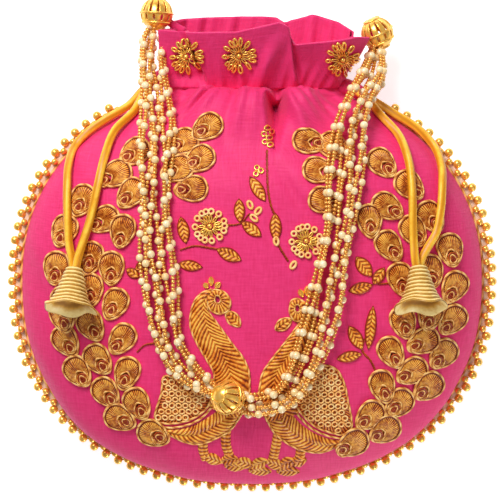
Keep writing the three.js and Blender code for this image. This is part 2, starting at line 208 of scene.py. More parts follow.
def front_folds(x, y, s, t):
    """How far the folds lift the front cloth off the plain panel, for belly and frill."""
    # Gathers fan out below the neck and die away on the belly
    fan = FAN_HEIGHT * smooth((y - FAN_FOOT_Y) / 42) ** 1.4 * (ripple(s, NECK_WAVES) - 0.5)
    slack = SLACK_HEIGHT * (ripple(x / 62 + y / 95, SLACK_WAVES) - 1)
    # The deep pleat in the middle: a steep wall on its right and a slow slope on its left
    pleat_x = PLEAT_X - (NECK_Y - y) * 0.02
    pleat_half = 1.0 + 5.6 * smooth((y - PLEAT_FOOT_Y) / 26)
    across = (x - pleat_x) / pleat_half
    across = np.where(across > 0, across / 0.75, across / 1.1)
    pleat = -PLEAT_DEPTH * smooth((y - PLEAT_FOOT_Y) / 24) * bump(across) ** 0.7
    pleat = pleat * (1 - smooth((y - 71) / 4))
    # A soft crease that runs on from the pleat towards the right
    crease_x = 11.0 + (PLEAT_FOOT_Y - y) * 0.62
    crease = -CREASE_DEPTH * bump((x - crease_x) / 5) * bump((y - 32) / 20)
    under = fan + slack + pleat + crease
    # The cloth stays over the drawstrings in their channel at the neck
    under = np.maximum(under, -0.6 - 16 * (1 - smooth((y - CORD_COVER_Y) / 7)))
    # The frill: overlapping folds, a hollow at the right and fine gathers at its foot
    left_line, right_line = LEFT_FOLD_X - FOLD_LEAN * t, RIGHT_FOLD_X - FOLD_LEAN * t
    left_fold = -3.5 * (1 - smooth((x - left_line) / FOLD_SOFTNESS))
    left_fold = left_fold - 5.0 * bump((x - left_line + 1.2) / FOLD_SOFTNESS)
    right_fold = -4.5 * smooth((x - right_line) / FOLD_SOFTNESS) * (1 - 0.8 * smooth((x - right_line) / 26))
    right_fold = right_fold - 4.0 * bump((x - right_line - 2.2) / 2.4)
    hollow = -HOLLOW_DEPTH * bump((x - HOLLOW_X) / 8) * bump((y - HOLLOW_Y) / 10)
    foot = FOOT_HEIGHT * ripple(s, FRILL_WAVES) * (1 - smooth(t / 0.9))
    # A slanting fold from the lip down to the gathers, right of the middle
    slant = SLANT_HEIGHT * bump((x - 3 - 11 * t) / 6) * bump((t - 0.4) / 0.6)
    wave = WAVE_HEIGHT * ripple(s * 0.8 + 0.2, SLACK_WAVES) * smooth(t)
    over = left_fold * smooth(t * 4) + right_fold * (0.3 + 0.7 * smooth(t * 1.6)) + hollow * smooth(t * 3)
    over = over + foot + wave + slant + 0.6 + FRILL_OPENING * t
    floor = -1.0 - 9 * smooth((t - 0.15) / 0.7)
    over = floor + np.log1p(np.exp(2 * (over - floor))) / 2
    return np.where(t <= 0, under, over)


RUFFLE_REACH, RUFFLE_HEIGHT = 4.4, 8.5  # of the belly over the gathers
FLOOR_GAP = 0.25  # under the flattened back
CHANNEL_ROOM = 4.4  # extra depth of the lining round the drawstrings
FRONT_LINING_INSET, BACK_LINING_INSET = 1.8, 1.6


def lining_inset(rows, plain):
    """How far inside the silk the lining lies, with room for the drawstrings in the channel at the neck."""
    y = np.where(rows > 1, NECK_Y + (rows - 1) * FRILL_LENGTH, MID_Y + BODY_LENGTH * (rows - 0.5))
    return (plain + CHANNEL_ROOM * (smooth((y - 69) / 6) - smooth((y - 85) / 9)))[:, None]


class Plan:
    """What both cloths start from: each point's place before any fold, as nets of (rows, columns)."""

    def __init__(self, rows, columns, inset, lip_ends):
        self.place, self.turn = np.meshgrid(
            rows, np.linspace(-np.pi / 2, np.pi / 2, columns), indexing="ij")
        sine = np.sin(self.turn)
        self.s = np.sign(sine) * np.abs(sine) ** (2 / FRONT_POWER)
        self.t = np.clip(self.place - 1, 0, 1)
        self.body_y = MID_Y - BODY_LENGTH / 2 + BODY_LENGTH * np.clip(self.place, 0, 1)
        frill = self.place > 1
        measures = section(np.where(frill, NECK_Y + self.t * FRILL_LENGTH, self.body_y))
        half, self.rise, self.drop = (np.maximum(size - inset, 0) for size in measures[:3])
        self.seam, self.middle = measures[3:]
        self.x = self.middle + half * self.s * spread(self.s, self.t)
        bottom = inset * (self.body_y < MID_Y - 60)
        lip_y = NECK_Y + self.t * (np.interp(self.x, LIP_X, lip_ends) - NECK_Y)
        self.y = np.where(frill, lip_y, self.body_y + bottom)


def front_cloth(rows, columns, inset=0.0):
    """Front cloth points in mm as (rows, columns, 3); inset moves it inwards."""
    plan = Plan(rows, columns, inset, FRONT_LIP)
    place, x, y, seam, middle, body_y = plan.place, plan.x, plan.y, plan.seam, plan.middle, plan.body_y
    crown = np.maximum(np.cos(plan.turn), 0.0) ** (2 / FRONT_POWER)
    z = seam + plan.rise * crown
    lift = front_folds(x, y, plan.s, place - 1)
    # The belly swells up and over the gathers in a scalloped ruffle
    near = np.clip((body_y - 50) / (NECK_Y - 50), 0, 1)
    hang = smooth(near * 1.1) * (1 - near ** 14) * (place <= 1) * smooth((37 - np.abs(x - middle)) / 15)
    scallop = 1.1 + 0.38 * ripple(plan.s, SCALLOP_WAVES) - 1.0 * bump((x - 12) / 6.5)
    tuck = -0.5 * (near ** 14) * (place <= 1)
    # The belly also overhangs the bottom seam
    level = np.clip((z - seam) / BELLY_RISE, 0, 1)
    sag = 2.2 * smooth(level / 0.25) * (1 - smooth((level - 0.3) / 0.6)) * smooth((-60 - y) / 30)
    side = np.stack([x / (BODY_WIDTH / 2), (y - MID_Y) / (BODY_LENGTH / 2)], -1)
    side /= np.maximum(np.linalg.norm(side, axis=-1, keepdims=True), 1e-6)
    edge = smooth(crown / 0.35)
    x = x + sag * side[..., 0] + lift * edge * np.sin(plan.turn) * 0.6
    y = y + (sag * side[..., 1] + RUFFLE_REACH * hang * scallop)
    z = z + lift * edge * (0.35 + 0.65 * crown) + (RUFFLE_HEIGHT * hang * scallop + tuck * crown)
    return np.stack([x, y, z], -1)


def back_cloth(rows, columns, inset=0.0):
    """Back cloth points in mm, from the left seam to the right; it is flat where it lies on the floor."""
    plan = Plan(rows, columns, inset, BACK_LIP)
    crown = lobe(plan.s, BACK_POWER)
    near = smooth((plan.body_y - 30) / 46) ** 1.5 * np.where(plan.place > 1, 1 - 0.5 * plan.t, 1)
    gathers = near * (1.8 * ripple(plan.s + 0.13, NECK_WAVES) + 0.5)
    z = plan.seam - plan.drop * crown + gathers * smooth(crown / 0.4)
    floor = FLOOR_GAP + inset
    z = np.where(z < floor + 2, floor + 2 * np.exp((z - floor - 2) / 2), z)
    return np.stack([plan.x, plan.y, z], -1)


# Routes, as the CAD cords and strands have them

def front_height(x, y):
    """Height of the plain front panel above x, y."""
    half, rise, _, seam, middle = section(y)
    across = np.abs((x - middle) / np.maximum(half, 1e-6))
    inside = (across < 1) & (y < LIP_Y) & (y > NECK_Y - BODY_LENGTH)
    crown = np.maximum(0, 1 - across ** FRONT_POWER) ** (1 / FRONT_POWER)
    return np.where(inside, seam + rise * crown, 0.0)


REST_CLEARANCE = 0.6


def rest_height(x, y, radius):
    """Lowest place for the middle of something round at x, y on the front panel."""
    best = front_height(x, y) + radius
    for ring in (1, 2, 3):
        out = radius * ring / 3
        for k in range(12):
            turn = k / 12 * 2 * math.pi
            under = front_height(x + out * math.cos(turn), y + out * math.sin(turn))
            best = np.maximum(best, under + math.sqrt(max(0.0, radius * radius - out * out)))
    return best + REST_CLEARANCE


def settle(route, radius):
    """A route's points, those with height 0 laid on the cloth."""
    return np.array([(x, y, z or float(rest_height(x, y, radius))) for x, y, z in route])


def spline(points, count):
    """Centripetal curve through the points, as count points at even distances."""
    p = np.asarray(points, float)
    p = np.vstack([2 * p[0] - p[1], p, 2 * p[-1] - p[-2]])
    dense = []
    for a, b, c, d in zip(p, p[1:], p[2:], p[3:]):
        t0 = 0.0
        t1 = t0 + np.linalg.norm(b - a) ** 0.5
        t2 = t1 + np.linalg.norm(c - b) ** 0.5
        t3 = t2 + np.linalg.norm(d - c) ** 0.5
        t = np.linspace(t1, t2, 24, endpoint=False)[:, None]
        ab = (t1 - t) / (t1 - t0) * a + (t - t0) / (t1 - t0) * b
        bc = (t2 - t) / (t2 - t1) * b + (t - t1) / (t2 - t1) * c
        cd = (t3 - t) / (t3 - t2) * c + (t - t2) / (t3 - t2) * d
        abc = (t2 - t) / (t2 - t0) * ab + (t - t0) / (t2 - t0) * bc
        bcd = (t3 - t) / (t3 - t1) * bc + (t - t1) / (t3 - t1) * cd
        dense.append((t2 - t) / (t2 - t1) * abc + (t - t1) / (t2 - t1) * bcd)
    return evenly(np.vstack(dense + [p[-2:-1]]), count)


def lengths(path):
    """Distance along a path at each of its points."""
    return np.concatenate([[0.0], np.cumsum(np.linalg.norm(np.diff(path, axis=0), axis=1))])


def evenly(path, count):
    """The same path as count points at even distances."""
    run = lengths(path)
    at = np.linspace(0, run[-1], count)
    return np.stack([np.interp(at, run, path[:, k]) for k in range(path.shape[1])], -1)


def directions(path, closed=False):
    """Unit direction of a path at each of its points."""
    if closed:
        d = np.roll(path, -1, 0) - np.roll(path, 1, 0)
    else:
        d = np.gradient(path, axis=0)
    return d / np.maximum(np.linalg.norm(d, axis=1, keepdims=True), 1e-9)


# Mesh building

class Shapes:
    """Gathers the points, faces and UVs of many small shapes for one piece."""

    def __init__(self):
        self.points, self.faces, self.uvs, self.kinds, self.count = [], [], [], [], 0
        self.kind = 0  # which of the piece's materials the next shapes take

    def add(self, points, faces, uvs):
        self.points.append(np.asarray(points, float).reshape(-1, 3))
        self.faces.extend((np.asarray(face) + self.count).tolist() for face in faces)
        self.uvs.extend(np.asarray(uv).tolist() for uv in uvs)
        self.kinds.extend([self.kind] * len(faces))
        self.count += len(self.points[-1])

    def grid(self, points, around=False, u_size=1.0, v_size=1.0, uv=None):
        """Add a net of points (rows, columns, 3), joined round its columns or not; uv is a net as well."""
        rows, columns = points.shape[:2]
        span = columns if around else columns - 1
        i, j = (k.ravel() for k in np.meshgrid(np.arange(rows - 1), np.arange(span), indexing="ij"))
        k = (j + 1) % columns
        low, high = i * columns, (i + 1) * columns
        faces = np.stack([low + j, low + k, high + k, high + j], -1)
        if uv is None:
            v = v_size * np.linspace(0, 1, rows) if np.ndim(v_size) == 0 else np.asarray(v_size)
            uv = np.stack(np.broadcast_arrays(u_size * np.linspace(0, 1, span + 1), v[:, None]), -1)
        self.add(points, faces, np.stack([uv[i, j], uv[i, j + 1], uv[i + 1, j + 1], uv[i + 1, j]], 1))

    def tube(self, path, radius, sides=6, closed=False, flatten=1.0, up=None):
        """Add a round cord along a path, closed into a ring or with rounded ends."""
        path = np.asarray(path, float)
        along = directions(path, closed)
        if up is None:
            up = np.zeros_like(along)
            up[0] = np.cross(along[0], (0.31, 0.2, 0.93))
            for k in range(1, len(path)):
                up[k] = up[k - 1] - along[k] * np.dot(up[k - 1], along[k])
                up[k] /= max(np.linalg.norm(up[k]), 1e-9)
            up[0] -= along[0] * np.dot(up[0], along[0])
        up = up - along * np.sum(up * along, axis=1, keepdims=True)
        up /= np.maximum(np.linalg.norm(up, axis=1, keepdims=True), 1e-9)
        side = np.cross(along, up)
        radius = np.broadcast_to(radius, len(path))
        turn = turns(sides)
        ring = np.cos(turn)[None, :, None] * side[:, None]
        ring = ring + flatten * np.sin(turn)[None, :, None] * up[:, None]
        net = path[:, None] + radius[:, None, None] * ring
        run = lengths(path)
        if closed:
            net = np.concatenate([net, net[:1]])
            run = np.append(run, run[-1] + np.linalg.norm(path[0] - path[-1]))
        else:
            first, last = (np.broadcast_to(end[:, None], net[:1].shape) for end in (path[:1], path[-1:]))
            net = np.concatenate([first, net, last])
            run = np.concatenate([[0.0], run, run[-1:]])
        self.grid(net, around=True, v_size=run / (2 * np.pi * float(np.mean(radius))))

    def stamp(self, shape, middle, axes):
        """Add a copy of a modelled shape: its points times the three axes, moved to middle."""
        points, faces, uvs = shape
        self.add(points @ np.asarray(axes, float) + np.asarray(middle, float), faces, uvs)


def finish_mesh(name, shapes, recalculate=True):
    """Turn gathered shapes into a mesh object at the origin, in metres, with closed seams and poles."""
    mesh = bpy.data.meshes.new(name)
    mesh.from_pydata((np.vstack(shapes.points) * MM).tolist(), [], shapes.faces)
    layer = mesh.uv_layers.new(name="UVMap")
    layer.data.foreach_set("uv", np.concatenate([np.asarray(uv).ravel() for uv in shapes.uvs]))
    mesh.polygons.foreach_set("material_index", shapes.kinds)
    work = bmesh.new()
    work.from_mesh(mesh)
    bmesh.ops.remove_doubles(work, verts=work.verts, dist=1e-7)
    bmesh.ops.dissolve_degenerate(work, edges=work.edges, dist=1e-7)
    if recalculate:
        bmesh.ops.recalc_face_normals(work, faces=work.faces)
    work.to_mesh(mesh)
    work.free()
    mesh.polygons.foreach_set("use_smooth", [True] * len(mesh.polygons))
    piece = bpy.data.objects.new(name, mesh)
    bpy.context.collection.objects.link(piece)
    return piece


def place(piece, finish, body, slot, *nodes):
    """Give a piece its materials and its body, and hide the CAD nodes that it stands for; slot is not used.
    """
    kinds = [face.material_index for face in piece.data.polygons]
    piece.data.materials.clear()
    for name in finish.split():
        piece.data.materials.append(finishes()[name])
    piece.data.polygons.foreach_set("material_index", kinds)
    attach(piece, body)
    if nodes:
        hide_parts(*nodes)
    return piece


def modelled(piece):
    """Points (mm), faces and UVs of a modelled shape; the object itself is removed."""
    mesh = piece.data
    points = np.array([v.co[:] for v in mesh.vertices]) / MM
    faces = [list(p.vertices) for p in mesh.polygons]
    uvs = [[(0.0, 0.0)] * len(face) for face in faces]
    bpy.data.objects.remove(piece)
    bpy.data.meshes.remove(mesh)
    return points, faces, uvs


def start_shape():
    """Leave edit mode and deselect everything before a primitive is added."""
    if bpy.context.mode != "OBJECT":
        bpy.ops.object.mode_set(mode="OBJECT")
    bpy.ops.object.select_all(action="DESELECT")


def bead_shape(segments, rings, length=1.0, hole=0.0):
    """A bead of unit diameter along Z, its ends pressed flat round the thread hole."""
    start_shape()
    bpy.ops.mesh.primitive_uv_sphere_add(segments=segments, ring_count=rings, radius=0.5 * MM)
    bpy.ops.object.mode_set(mode="EDIT")
    bpy.ops.transform.resize(value=(1, 1, length))
    bpy.ops.object.mode_set(mode="OBJECT")
    bead = bpy.context.object
    limit = 0.5 * MM * length * (1 - hole)
    for vertex in bead.data.vertices:
        vertex.co.z = max(-limit, min(limit, vertex.co.z))
    return modelled(bead)


def axes_along(direction, width=1.0, length=None, up=(0.0, 0.0, 1.0)):
    """Three axes whose third runs along direction, scaled to width and length."""
    w = np.asarray(direction, float)
    w = w / np.linalg.norm(w)
    u = np.cross(up, w)
    if np.linalg.norm(u) < 1e-6:
        u = np.cross((1.0, 0.0, 0.0), w)
    u = u / np.linalg.norm(u)
    v = np.cross(w, u)
    return np.stack([u * width, v * width, w * (length or width)])


# Materials

def linear(text):
    """sRGB hex text to a linear RGBA colour."""
    parts = [int(text[k:k + 2], 16) / 255 for k in (0, 2, 4)]
    return tuple(c / 12.92 if c <= 0.04045 else ((c + 0.055) / 1.055) ** 2.4 for c in parts) + (1.0,)


def node(tree, kind, inputs=None, **settings):
    """Add a node; inputs gives each socket a value or another node's output to link."""
    made = tree.nodes.new(kind)
    for key, value in settings.items():
        setattr(made, key, value)
    for socket, value in (inputs or {}).items():
        if isinstance(value, bpy.types.NodeSocket):
            tree.links.new(value, made.inputs[socket])
        else:
            made.inputs[socket].default_value = value
    return made


def new_material(name, **sockets):
    """A material with one shader, its constant sockets set; returns its tree and shader."""
    made = bpy.data.materials.new(name)
    made.use_nodes = True
    shader = made.node_tree.nodes["Principled BSDF"]
    for key, value in sockets.items():
        shader.inputs[key.replace("_", " ")].default_value = value
    return made.node_tree, shader


def remap(tree, value, low, high, to_low=0.0, to_high=1.0):
    """A value moved from the range low to high to another one, and held at its ends."""
    made = node(tree, "ShaderNodeMapRange", {
        "Value": value, "From Min": low, "From Max": high, "To Min": to_low, "To Max": to_high})
    return made.outputs[0]


def combine(tree, operation, a, b):
    """Two values put together by one operation."""
    return node(tree, "ShaderNodeMath", {0: a, 1: b}, operation=operation).outputs[0]


def noise(tree, per_metre, detail):
    """Noise in the object's own space."""
    where = node(tree, "ShaderNodeTexCoord")
    made = node(tree, "ShaderNodeTexNoise", {
        "Vector": where.outputs["Object"], "Scale": per_metre, "Detail": detail})
    return made.outputs["Fac"]


def blend(tree, share, low, high):
    """A colour between two hex texts."""
    made = node(tree, "ShaderNodeMix", {0: share, 6: linear(low), 7: linear(high)}, data_type="RGBA")
    return made.outputs[2]


def surface(tree, shader, colour, height, strength, depth):
    """Give a shader its colour and a relief whose depth is in metres."""
    relief = node(tree, "ShaderNodeBump", {"Height": height, "Strength": strength, "Distance": depth})
    tree.links.new(colour, shader.inputs["Base Color"])
    tree.links.new(relief.outputs[0], shader.inputs["Normal"])


def weave(tree, coordinates, thread, slub):
    """Warp and weft as two stretched noises; thread is the spacing and slub the length of a thick place."""
    grains = []
    for wide, tall in ((slub, thread), (thread, slub)):
        scaled = node(tree, "ShaderNodeMapping", {
            "Vector": coordinates, "Scale": (1 / wide, 1 / tall, 1 / thread)})
        grain = node(tree, "ShaderNodeTexNoise", {"Vector": scaled.outputs[0], "Scale": 1.0, "Detail": 1.5})
        grains.append(grain.outputs["Fac"])
    return combine(tree, "ADD", *grains)


def dupion_silk(colours):
    """Dupion silk: crisp, slightly slubby cloth whose raised threads catch a soft sheen."""
    tree, shader = new_material(
        "dupion_silk", Roughness=0.58, Specular_IOR_Level=0.22, Sheen_Weight=0.3, Sheen_Roughness=0.4,
        Sheen_Tint=linear("FF9CC4"))
    uv = node(tree, "ShaderNodeUVMap", uv_map="UVMap").outputs[0]
    # Real threads are 0.2 mm apart; they are drawn at 0.9 mm, the finest that shows
    threads = weave(tree, uv, 0.9, 7.0)
    slubs = weave(tree, uv, 2.2, 45.0)
    share = combine(tree, "MULTIPLY", remap(tree, slubs, -0.6, 1.5), remap(tree, threads, 0.6, 1.4))
    surface(tree, shader, blend(tree, share, colours.silk_shade, colours.silk), threads, 0.35, 0.0005)


WAVE_UNIT = math.pi / 10  # wave texture scale that gives one band a unit
FLECKS_PER_METRE, PATCHES_PER_METRE = 700.0, 190.0  # of the two noises in the threads' colour: random flecks, and patches of painted sheen and shade
MIDDLE_TONE = 0.45  # where the second of three tones sits


def plain_material(name, low, high, scale_mm, relief, **sockets):
    """A finish whose colour wanders between two tones over scale_mm, with fine relief of the same grain."""
    tree, shader = new_material(name, **sockets)
    grain = noise(tree, 1 / (scale_mm * MM), 3.0)
    colour = blend(tree, remap(tree, grain, 0.3, 0.7), low, high)
    surface(tree, shader, colour, grain, relief, scale_mm * MM * 0.2)


def thread_material(name, tones, run, depth, reach=(0.1, 1.25), hollow=0.0, wobble=0.5, **sockets):
    """Threads side by side.

    tones are the colours from the hollows to the crests, painted shade in the hollows and painted highlight
    on the crests, run the threads per UV unit across and along, depth the relief in mm, reach the
    brightness that the first and the last tone take, hollow the least painted brightness between threads,
    and wobble how unevenly they lie.
    """
    tree, shader = new_material(name, **sockets)
    uv = node(tree, "ShaderNodeUVMap", uv_map="UVMap")
    turned = node(tree, "ShaderNodeMapping", {
        "Vector": uv.outputs[0], "Rotation": (0, 0, -math.atan2(run[1], run[0]))})
    wave = node(tree, "ShaderNodeTexWave", {
        "Vector": turned.outputs[0], "Scale": math.hypot(*run) * WAVE_UNIT, "Distortion": wobble,
        "Detail": 1.0, "Detail Scale": 0.7}, bands_direction="X").outputs["Fac"]
    # Painted sheen and shade: patches a few millimetres wide are darker, as whole bundles of thread lying
    # at different angles would catch less light
    sheen_patches = remap(tree, noise(tree, PATCHES_PER_METRE, 2.0), 0.35, 0.65, 0.22, 0.72)
    tone = combine(tree, "ADD", noise(tree, FLECKS_PER_METRE, 2.0), sheen_patches)
    lit = combine(tree, "MULTIPLY", remap(tree, wave, 0.0, 1.0, hollow), tone)
    # The ramp paints shade into the hollows between threads and highlight onto their crests
    colour = node(tree, "ShaderNodeValToRGB", {0: remap(tree, lit, *reach)})
    stops = colour.color_ramp.elements
    stops.new(MIDDLE_TONE)
    for stop, text in zip(stops, tones):
        stop.color = linear(text)
    surface(tree, shader, colour.outputs[0], wave, 0.7, depth * MM)


def finishes():
    """Every material, made once and found by its key afterwards."""
    colours = bpy.context.scene.potli_colours
    if "dupion_silk" not in bpy.data.materials:
        dupion_silk(colours)
        # Cotton lining: matt plain weave
        plain_material("cotton_lining", "A81F56", colours.lining, 0.8, 0.3, Roughness=0.85)
        # Zari herringbone: metal-wrapped threads in broad slanting stitches, with red-brown painted shade
        # between them
        thread_material("zari_stitch", ("7A260A", colours.zari_shade, colours.zari), (0.46, 0), 0.4,
                        (0.28, 1.05), 0.36, 2.4, Roughness=0.36, Specular_IOR_Level=0.25)
        # Zari satin: the same thread laid finely, with painted sheen and shade that go from bright to brown
        # in soft patches
        thread_material("zari_satin", ("6A2208", colours.zari_shade, colours.zari), (0.9, 0), 0.25,
                        (0.44, 1.06), 0.45, 1.4, Roughness=0.34, Specular_IOR_Level=0.25)
        # Copper zari: the shaded rows of the same stitching
        thread_material("copper_zari", ("8A240E", "D0601E", "FFAC50"), (0.6, 0), 0.45,
                        Roughness=0.36, Specular_IOR_Level=0.25)
        # Dark zari: the shadowed thread that edges the feathers
        thread_material("dark_zari", ("6A1C08", "A04814", "D88430"), (0.6, 0), 0.3,
                        Roughness=0.4, Specular_IOR_Level=0.2)
        # Couched cord: a light gold twist, with painted highlights on its plies at a slant and painted
        # shade between them
        thread_material("couched_cord", ("A85A24", "F0A850", colours.couching), (1, 0.7), 0.25, (-0.1, 1.0),
                        Roughness=0.36, Specular_IOR_Level=0.3)
        # Polished gilt: warm mirror with small darker wear
        plain_material("polished_gilt", "FFB83C", colours.gilt, 1.6, 0.08, Metallic=0.6, Roughness=0.24)
        # Pale gilt: the small champagne beads between the pearls
        plain_material("pale_gilt", "EA9432", "FFD074", 1.2, 0.05, Metallic=0.55, Roughness=0.22)
        # Gold sequin: thin bright rings, paler than the beads
        plain_material("gold_sequin", "FFB458", "FFE0A0", 2.5, 0.05, Roughness=0.4, Specular_IOR_Level=0.12)
        # Imitation pearl: cream with a clear lacquer over it
        plain_material("imitation_pearl", "F6CC84", colours.pearl, 4.0, 0.02, Roughness=0.16,
                       Coat_Weight=0.6, Coat_Roughness=0.12)
        # Cotton lace: pale peach edging behind the trim's beads
        plain_material("cotton_lace", "E8B890", "FFEBD6", 1.5, 0.5, Roughness=0.8)
        # Satin cord: three twisted plies with long soft painted highlights and painted shade between them
        thread_material("gold_satin", ("B4660C", colours.satin, "FFCE48"), (3, 0.16), 0.35, (-0.3, 1.2),
                        Roughness=0.34, Specular_IOR_Level=0.3)
        # Wound yarn: pale turns round the bell, with a dark line of painted shade between each two
        thread_material("wound_yarn", ("8A5212", "E2AE4C", colours.yarn), (0, 1), 0.4, (-0.15, 0.9),
                        Roughness=0.4, Specular_IOR_Level=0.3)
    return bpy.data.materials


# The view

def camera_axes():
    """Where the camera stands and its right, up and forward directions."""
    back = np.array([0.0, math.sin(CAMERA_LEAN), math.cos(CAMERA_LEAN)])
    right = np.array([1.0, 0.0, 0.0])
    return np.array(CAMERA_TARGET) + CAMERA_DISTANCE * back, right, np.cross(back, right), -back


FOCAL_PIXELS = CAMERA_DISTANCE / MM_PER_PIXEL
FLOOR_GLOW, SKY_STRENGTH = 0.66, 0.26
# Lights as name, place in metres, diameter in metres, power in watts
LIGHTS = [
    ("key_light", (-0.5, 1.15, 1.1), 0.8, 27.0),
    ("fill_light", (0.7, -0.5, 1.1), 1.2, 2.4),
    ("low_light", (0.5, -1.1, 0.24), 0.5, 6.0)]
LIGHT_AIM = (0, -0.01, 0.03)


def paper_floor():
    """The white paper that the bag lies on."""
    start_shape()
    bpy.ops.mesh.primitive_plane_add(size=8.0)
    floor = bpy.context.object
    floor.name = "floor"
    # White paper that glows a little where it is seen, and not where it lights the bag
    tree, shader = new_material(
        "white_paper", Roughness=0.9, Specular_IOR_Level=0.1, Base_Color=linear("F4F4F4"),
        Emission_Color=(1, 1, 1, 1))
    rays = node(tree, "ShaderNodeLightPath").outputs
    seen = combine(tree, "MAXIMUM", rays["Is Camera Ray"], rays["Is Glossy Ray"])
    seen = combine(tree, "MAXIMUM", seen, rays["Is Transmission Ray"])
    tree.links.new(combine(tree, "MULTIPLY", seen, FLOOR_GLOW), shader.inputs["Emission Strength"])
    floor.data.materials.append(bpy.data.materials["white_paper"])


def studio_lights(context):
    """An even white sky and the lights."""
    world = bpy.data.worlds.new("studio")
    context.scene.world = world
    world.use_nodes = True
    sky = world.node_tree.nodes["Background"]
    sky.inputs["Color"].default_value = (1, 1, 1, 1)
    sky.inputs["Strength"].default_value = SKY_STRENGTH
    for name, at, size, power in LIGHTS:
        lamp = bpy.data.lights.new(name, "AREA")
        lamp.shape, lamp.size, lamp.energy = "DISK", size, power
        holder = bpy.data.objects.new(name, lamp)
        holder.location = at
        aim = Vector(LIGHT_AIM) - Vector(at)
        holder.rotation_euler = aim.to_track_quat("-Z", "Y").to_euler()
        context.collection.objects.link(holder)


def photo_camera(context):
    """The camera that sees the bag as the photograph does."""
    eye, right, up, forward = camera_axes()
    lens = bpy.data.cameras.new("camera")
    lens.sensor_width = 36.0
    lens.lens = FOCAL_PIXELS * lens.sensor_width / PHOTO_WIDTH
    camera = bpy.data.objects.new("camera", lens)
    turn = Matrix([[right[k], up[k], -forward[k]] for k in range(3)]).to_4x4()
    camera.matrix_world = Matrix.Translation(Vector(eye * MM)) @ turn
    context.collection.objects.link(camera)
    context.scene.camera = camera


class POTLI_OT_stage(bpy.types.Operator):
    """Floor, soft studio lights and the camera above the bag"""

    bl_idname = "potli.stage"
    bl_label = "Stage"

    def execute(self, context):
        context.scene.view_settings.view_transform = "Standard"
        paper_floor()
        studio_lights(context)
        photo_camera(context)
        return {"FINISHED"}


# Drawstrings and bells

LEFT_OUTER = [
    (-40.0, 82.0, 14.5), (-47.5, 80, 15.4), (-53, 75.5, 19), (-59, 69, 23.5), (-70, 62.5, 27),
    (-79, 56.2, 28.5), (-85, 49.5, 31), (-87.4, 41.5, 0), (-87.6, 33, 0), (-87.4, 21.5, 0),
    (-86.4, 5.4, 0), (-85, -1, 0), (-84.2, -6.5, 0)]
LEFT_INNER = [
    (-40.0, 82.0, 20.5), (-47.5, 80.2, 22), (-52, 74.5, 26), (-56.5, 66.8, 0), (-65.4, 58, 0),
    (-69.6, 47, 0), (-72.6, 33.8, 0), (-76.3, 17.5, 0), (-80.4, 5, 0), (-82.2, -1, 0), (-83, -6.5, 0)]
RIGHT_OUTER = [
    (42.0, 77.4, 14.6), (48.5, 76.2, 15.4), (55.5, 72.5, 19.5), (62, 68.8, 24), (69, 64.5, 26.5),
    (79.5, 58, 28), (87.5, 49.5, 31), (90.4, 41, 0), (90.2, 33, 0), (89.2, 21.4, 0), (87, 11.3, 0),
    (82.8, 4.5, 0), (80, -0.5, 0), (78.9, -5.5, 0)]
RIGHT_INNER = [
    (42.0, 77.4, 21.0), (48.5, 76.2, 22), (53.5, 73, 25.5), (58, 68.8, 28), (62, 64.3, 0),
    (69.7, 56, 0), (73.9, 45, 0), (75.3, 31.4, 0), (75.6, 15.2, 0), (76.6, -0.5, 0), (77.6, -5.5, 0)]
BELL_TOP_RADIUS, BELL_RIM_RADIUS, BELL_LENGTH, BELL_WALL = 4.5, 13.0, 20.0, 1.2
BELL_PROFILE = [(0, 3.4), (0.12, 4.4), (0.4, 5.8), (0.72, 8.0), (0.9, 10.2), (1, BELL_RIM_RADIUS)]
BELL_REACH = 0.92  # how much of its length shows from above
BELL_TURNS = 10
LEFT_BELL = ((-83.5, -4.8), (-0.12, -1.0))
RIGHT_BELL = ((78.2, -3.8), (0.04, -1.0))


def bell_piece(name, apex, toward, crumple):
    """A ribbed cup of wound yarn lying on the cloth, its rim pulled out of round."""
    top = np.array([*apex, float(rest_height(*apex, BELL_TOP_RADIUS))])
    flat = np.array(toward) / np.linalg.norm(toward) * BELL_LENGTH * BELL_REACH
    rim = np.array([apex[0] + flat[0], apex[1] + flat[1], 0.0])
    rim[2] = rest_height(rim[0], rim[1], BELL_RIM_RADIUS)
    axes = axes_along(rim - top, up=(0.0, 0.0, 1.0))
    turn = turns(72)
    share = np.linspace(0, 1, BELL_TURNS * 4 + 1)
    wide = np.interp(share, *zip(*BELL_PROFILE))
    # Turns of yarn lie over one another round the cup
    rib = (np.abs(np.sin(np.pi * BELL_TURNS * share)) ** 0.5 - 0.6) * 1.1
    wavy = ripple(turn / (2 * np.pi), [(3, crumple, 0.6), (5, crumple * 2, 0.5)])
    cup = list(zip(share, wide + rib)) + [(1.015, BELL_RIM_RADIUS - 0.5)]
    cup += [(s, r - BELL_WALL) for s, r in list(zip(share, wide))[:0:-4]]
    net = [(r + wavy * 0.9 * s ** 4, s * BELL_LENGTH + wavy * 1.1 * s ** 4) for s, r in cup]
    still = np.zeros_like(turn)
    net = [(still, still)] + net + [(still, still + 0.14 * BELL_LENGTH)]
    points = [top + (r * np.cos(turn))[:, None] * axes[0] + (r * np.sin(turn))[:, None] * axes[1]
              + np.broadcast_to(d, turn.shape)[:, None] * axes[2] for r, d in net]
    shapes = Shapes()
    around = 2 * np.pi * BELL_RIM_RADIUS
    shapes.grid(np.array(points), around=True, u_size=around, v_size=(np.arange(len(net)) - 1) / 4)
    return finish_mesh(name, shapes)


WELT_LENGTH, WELT_RADIUS = 15.0, 4.6


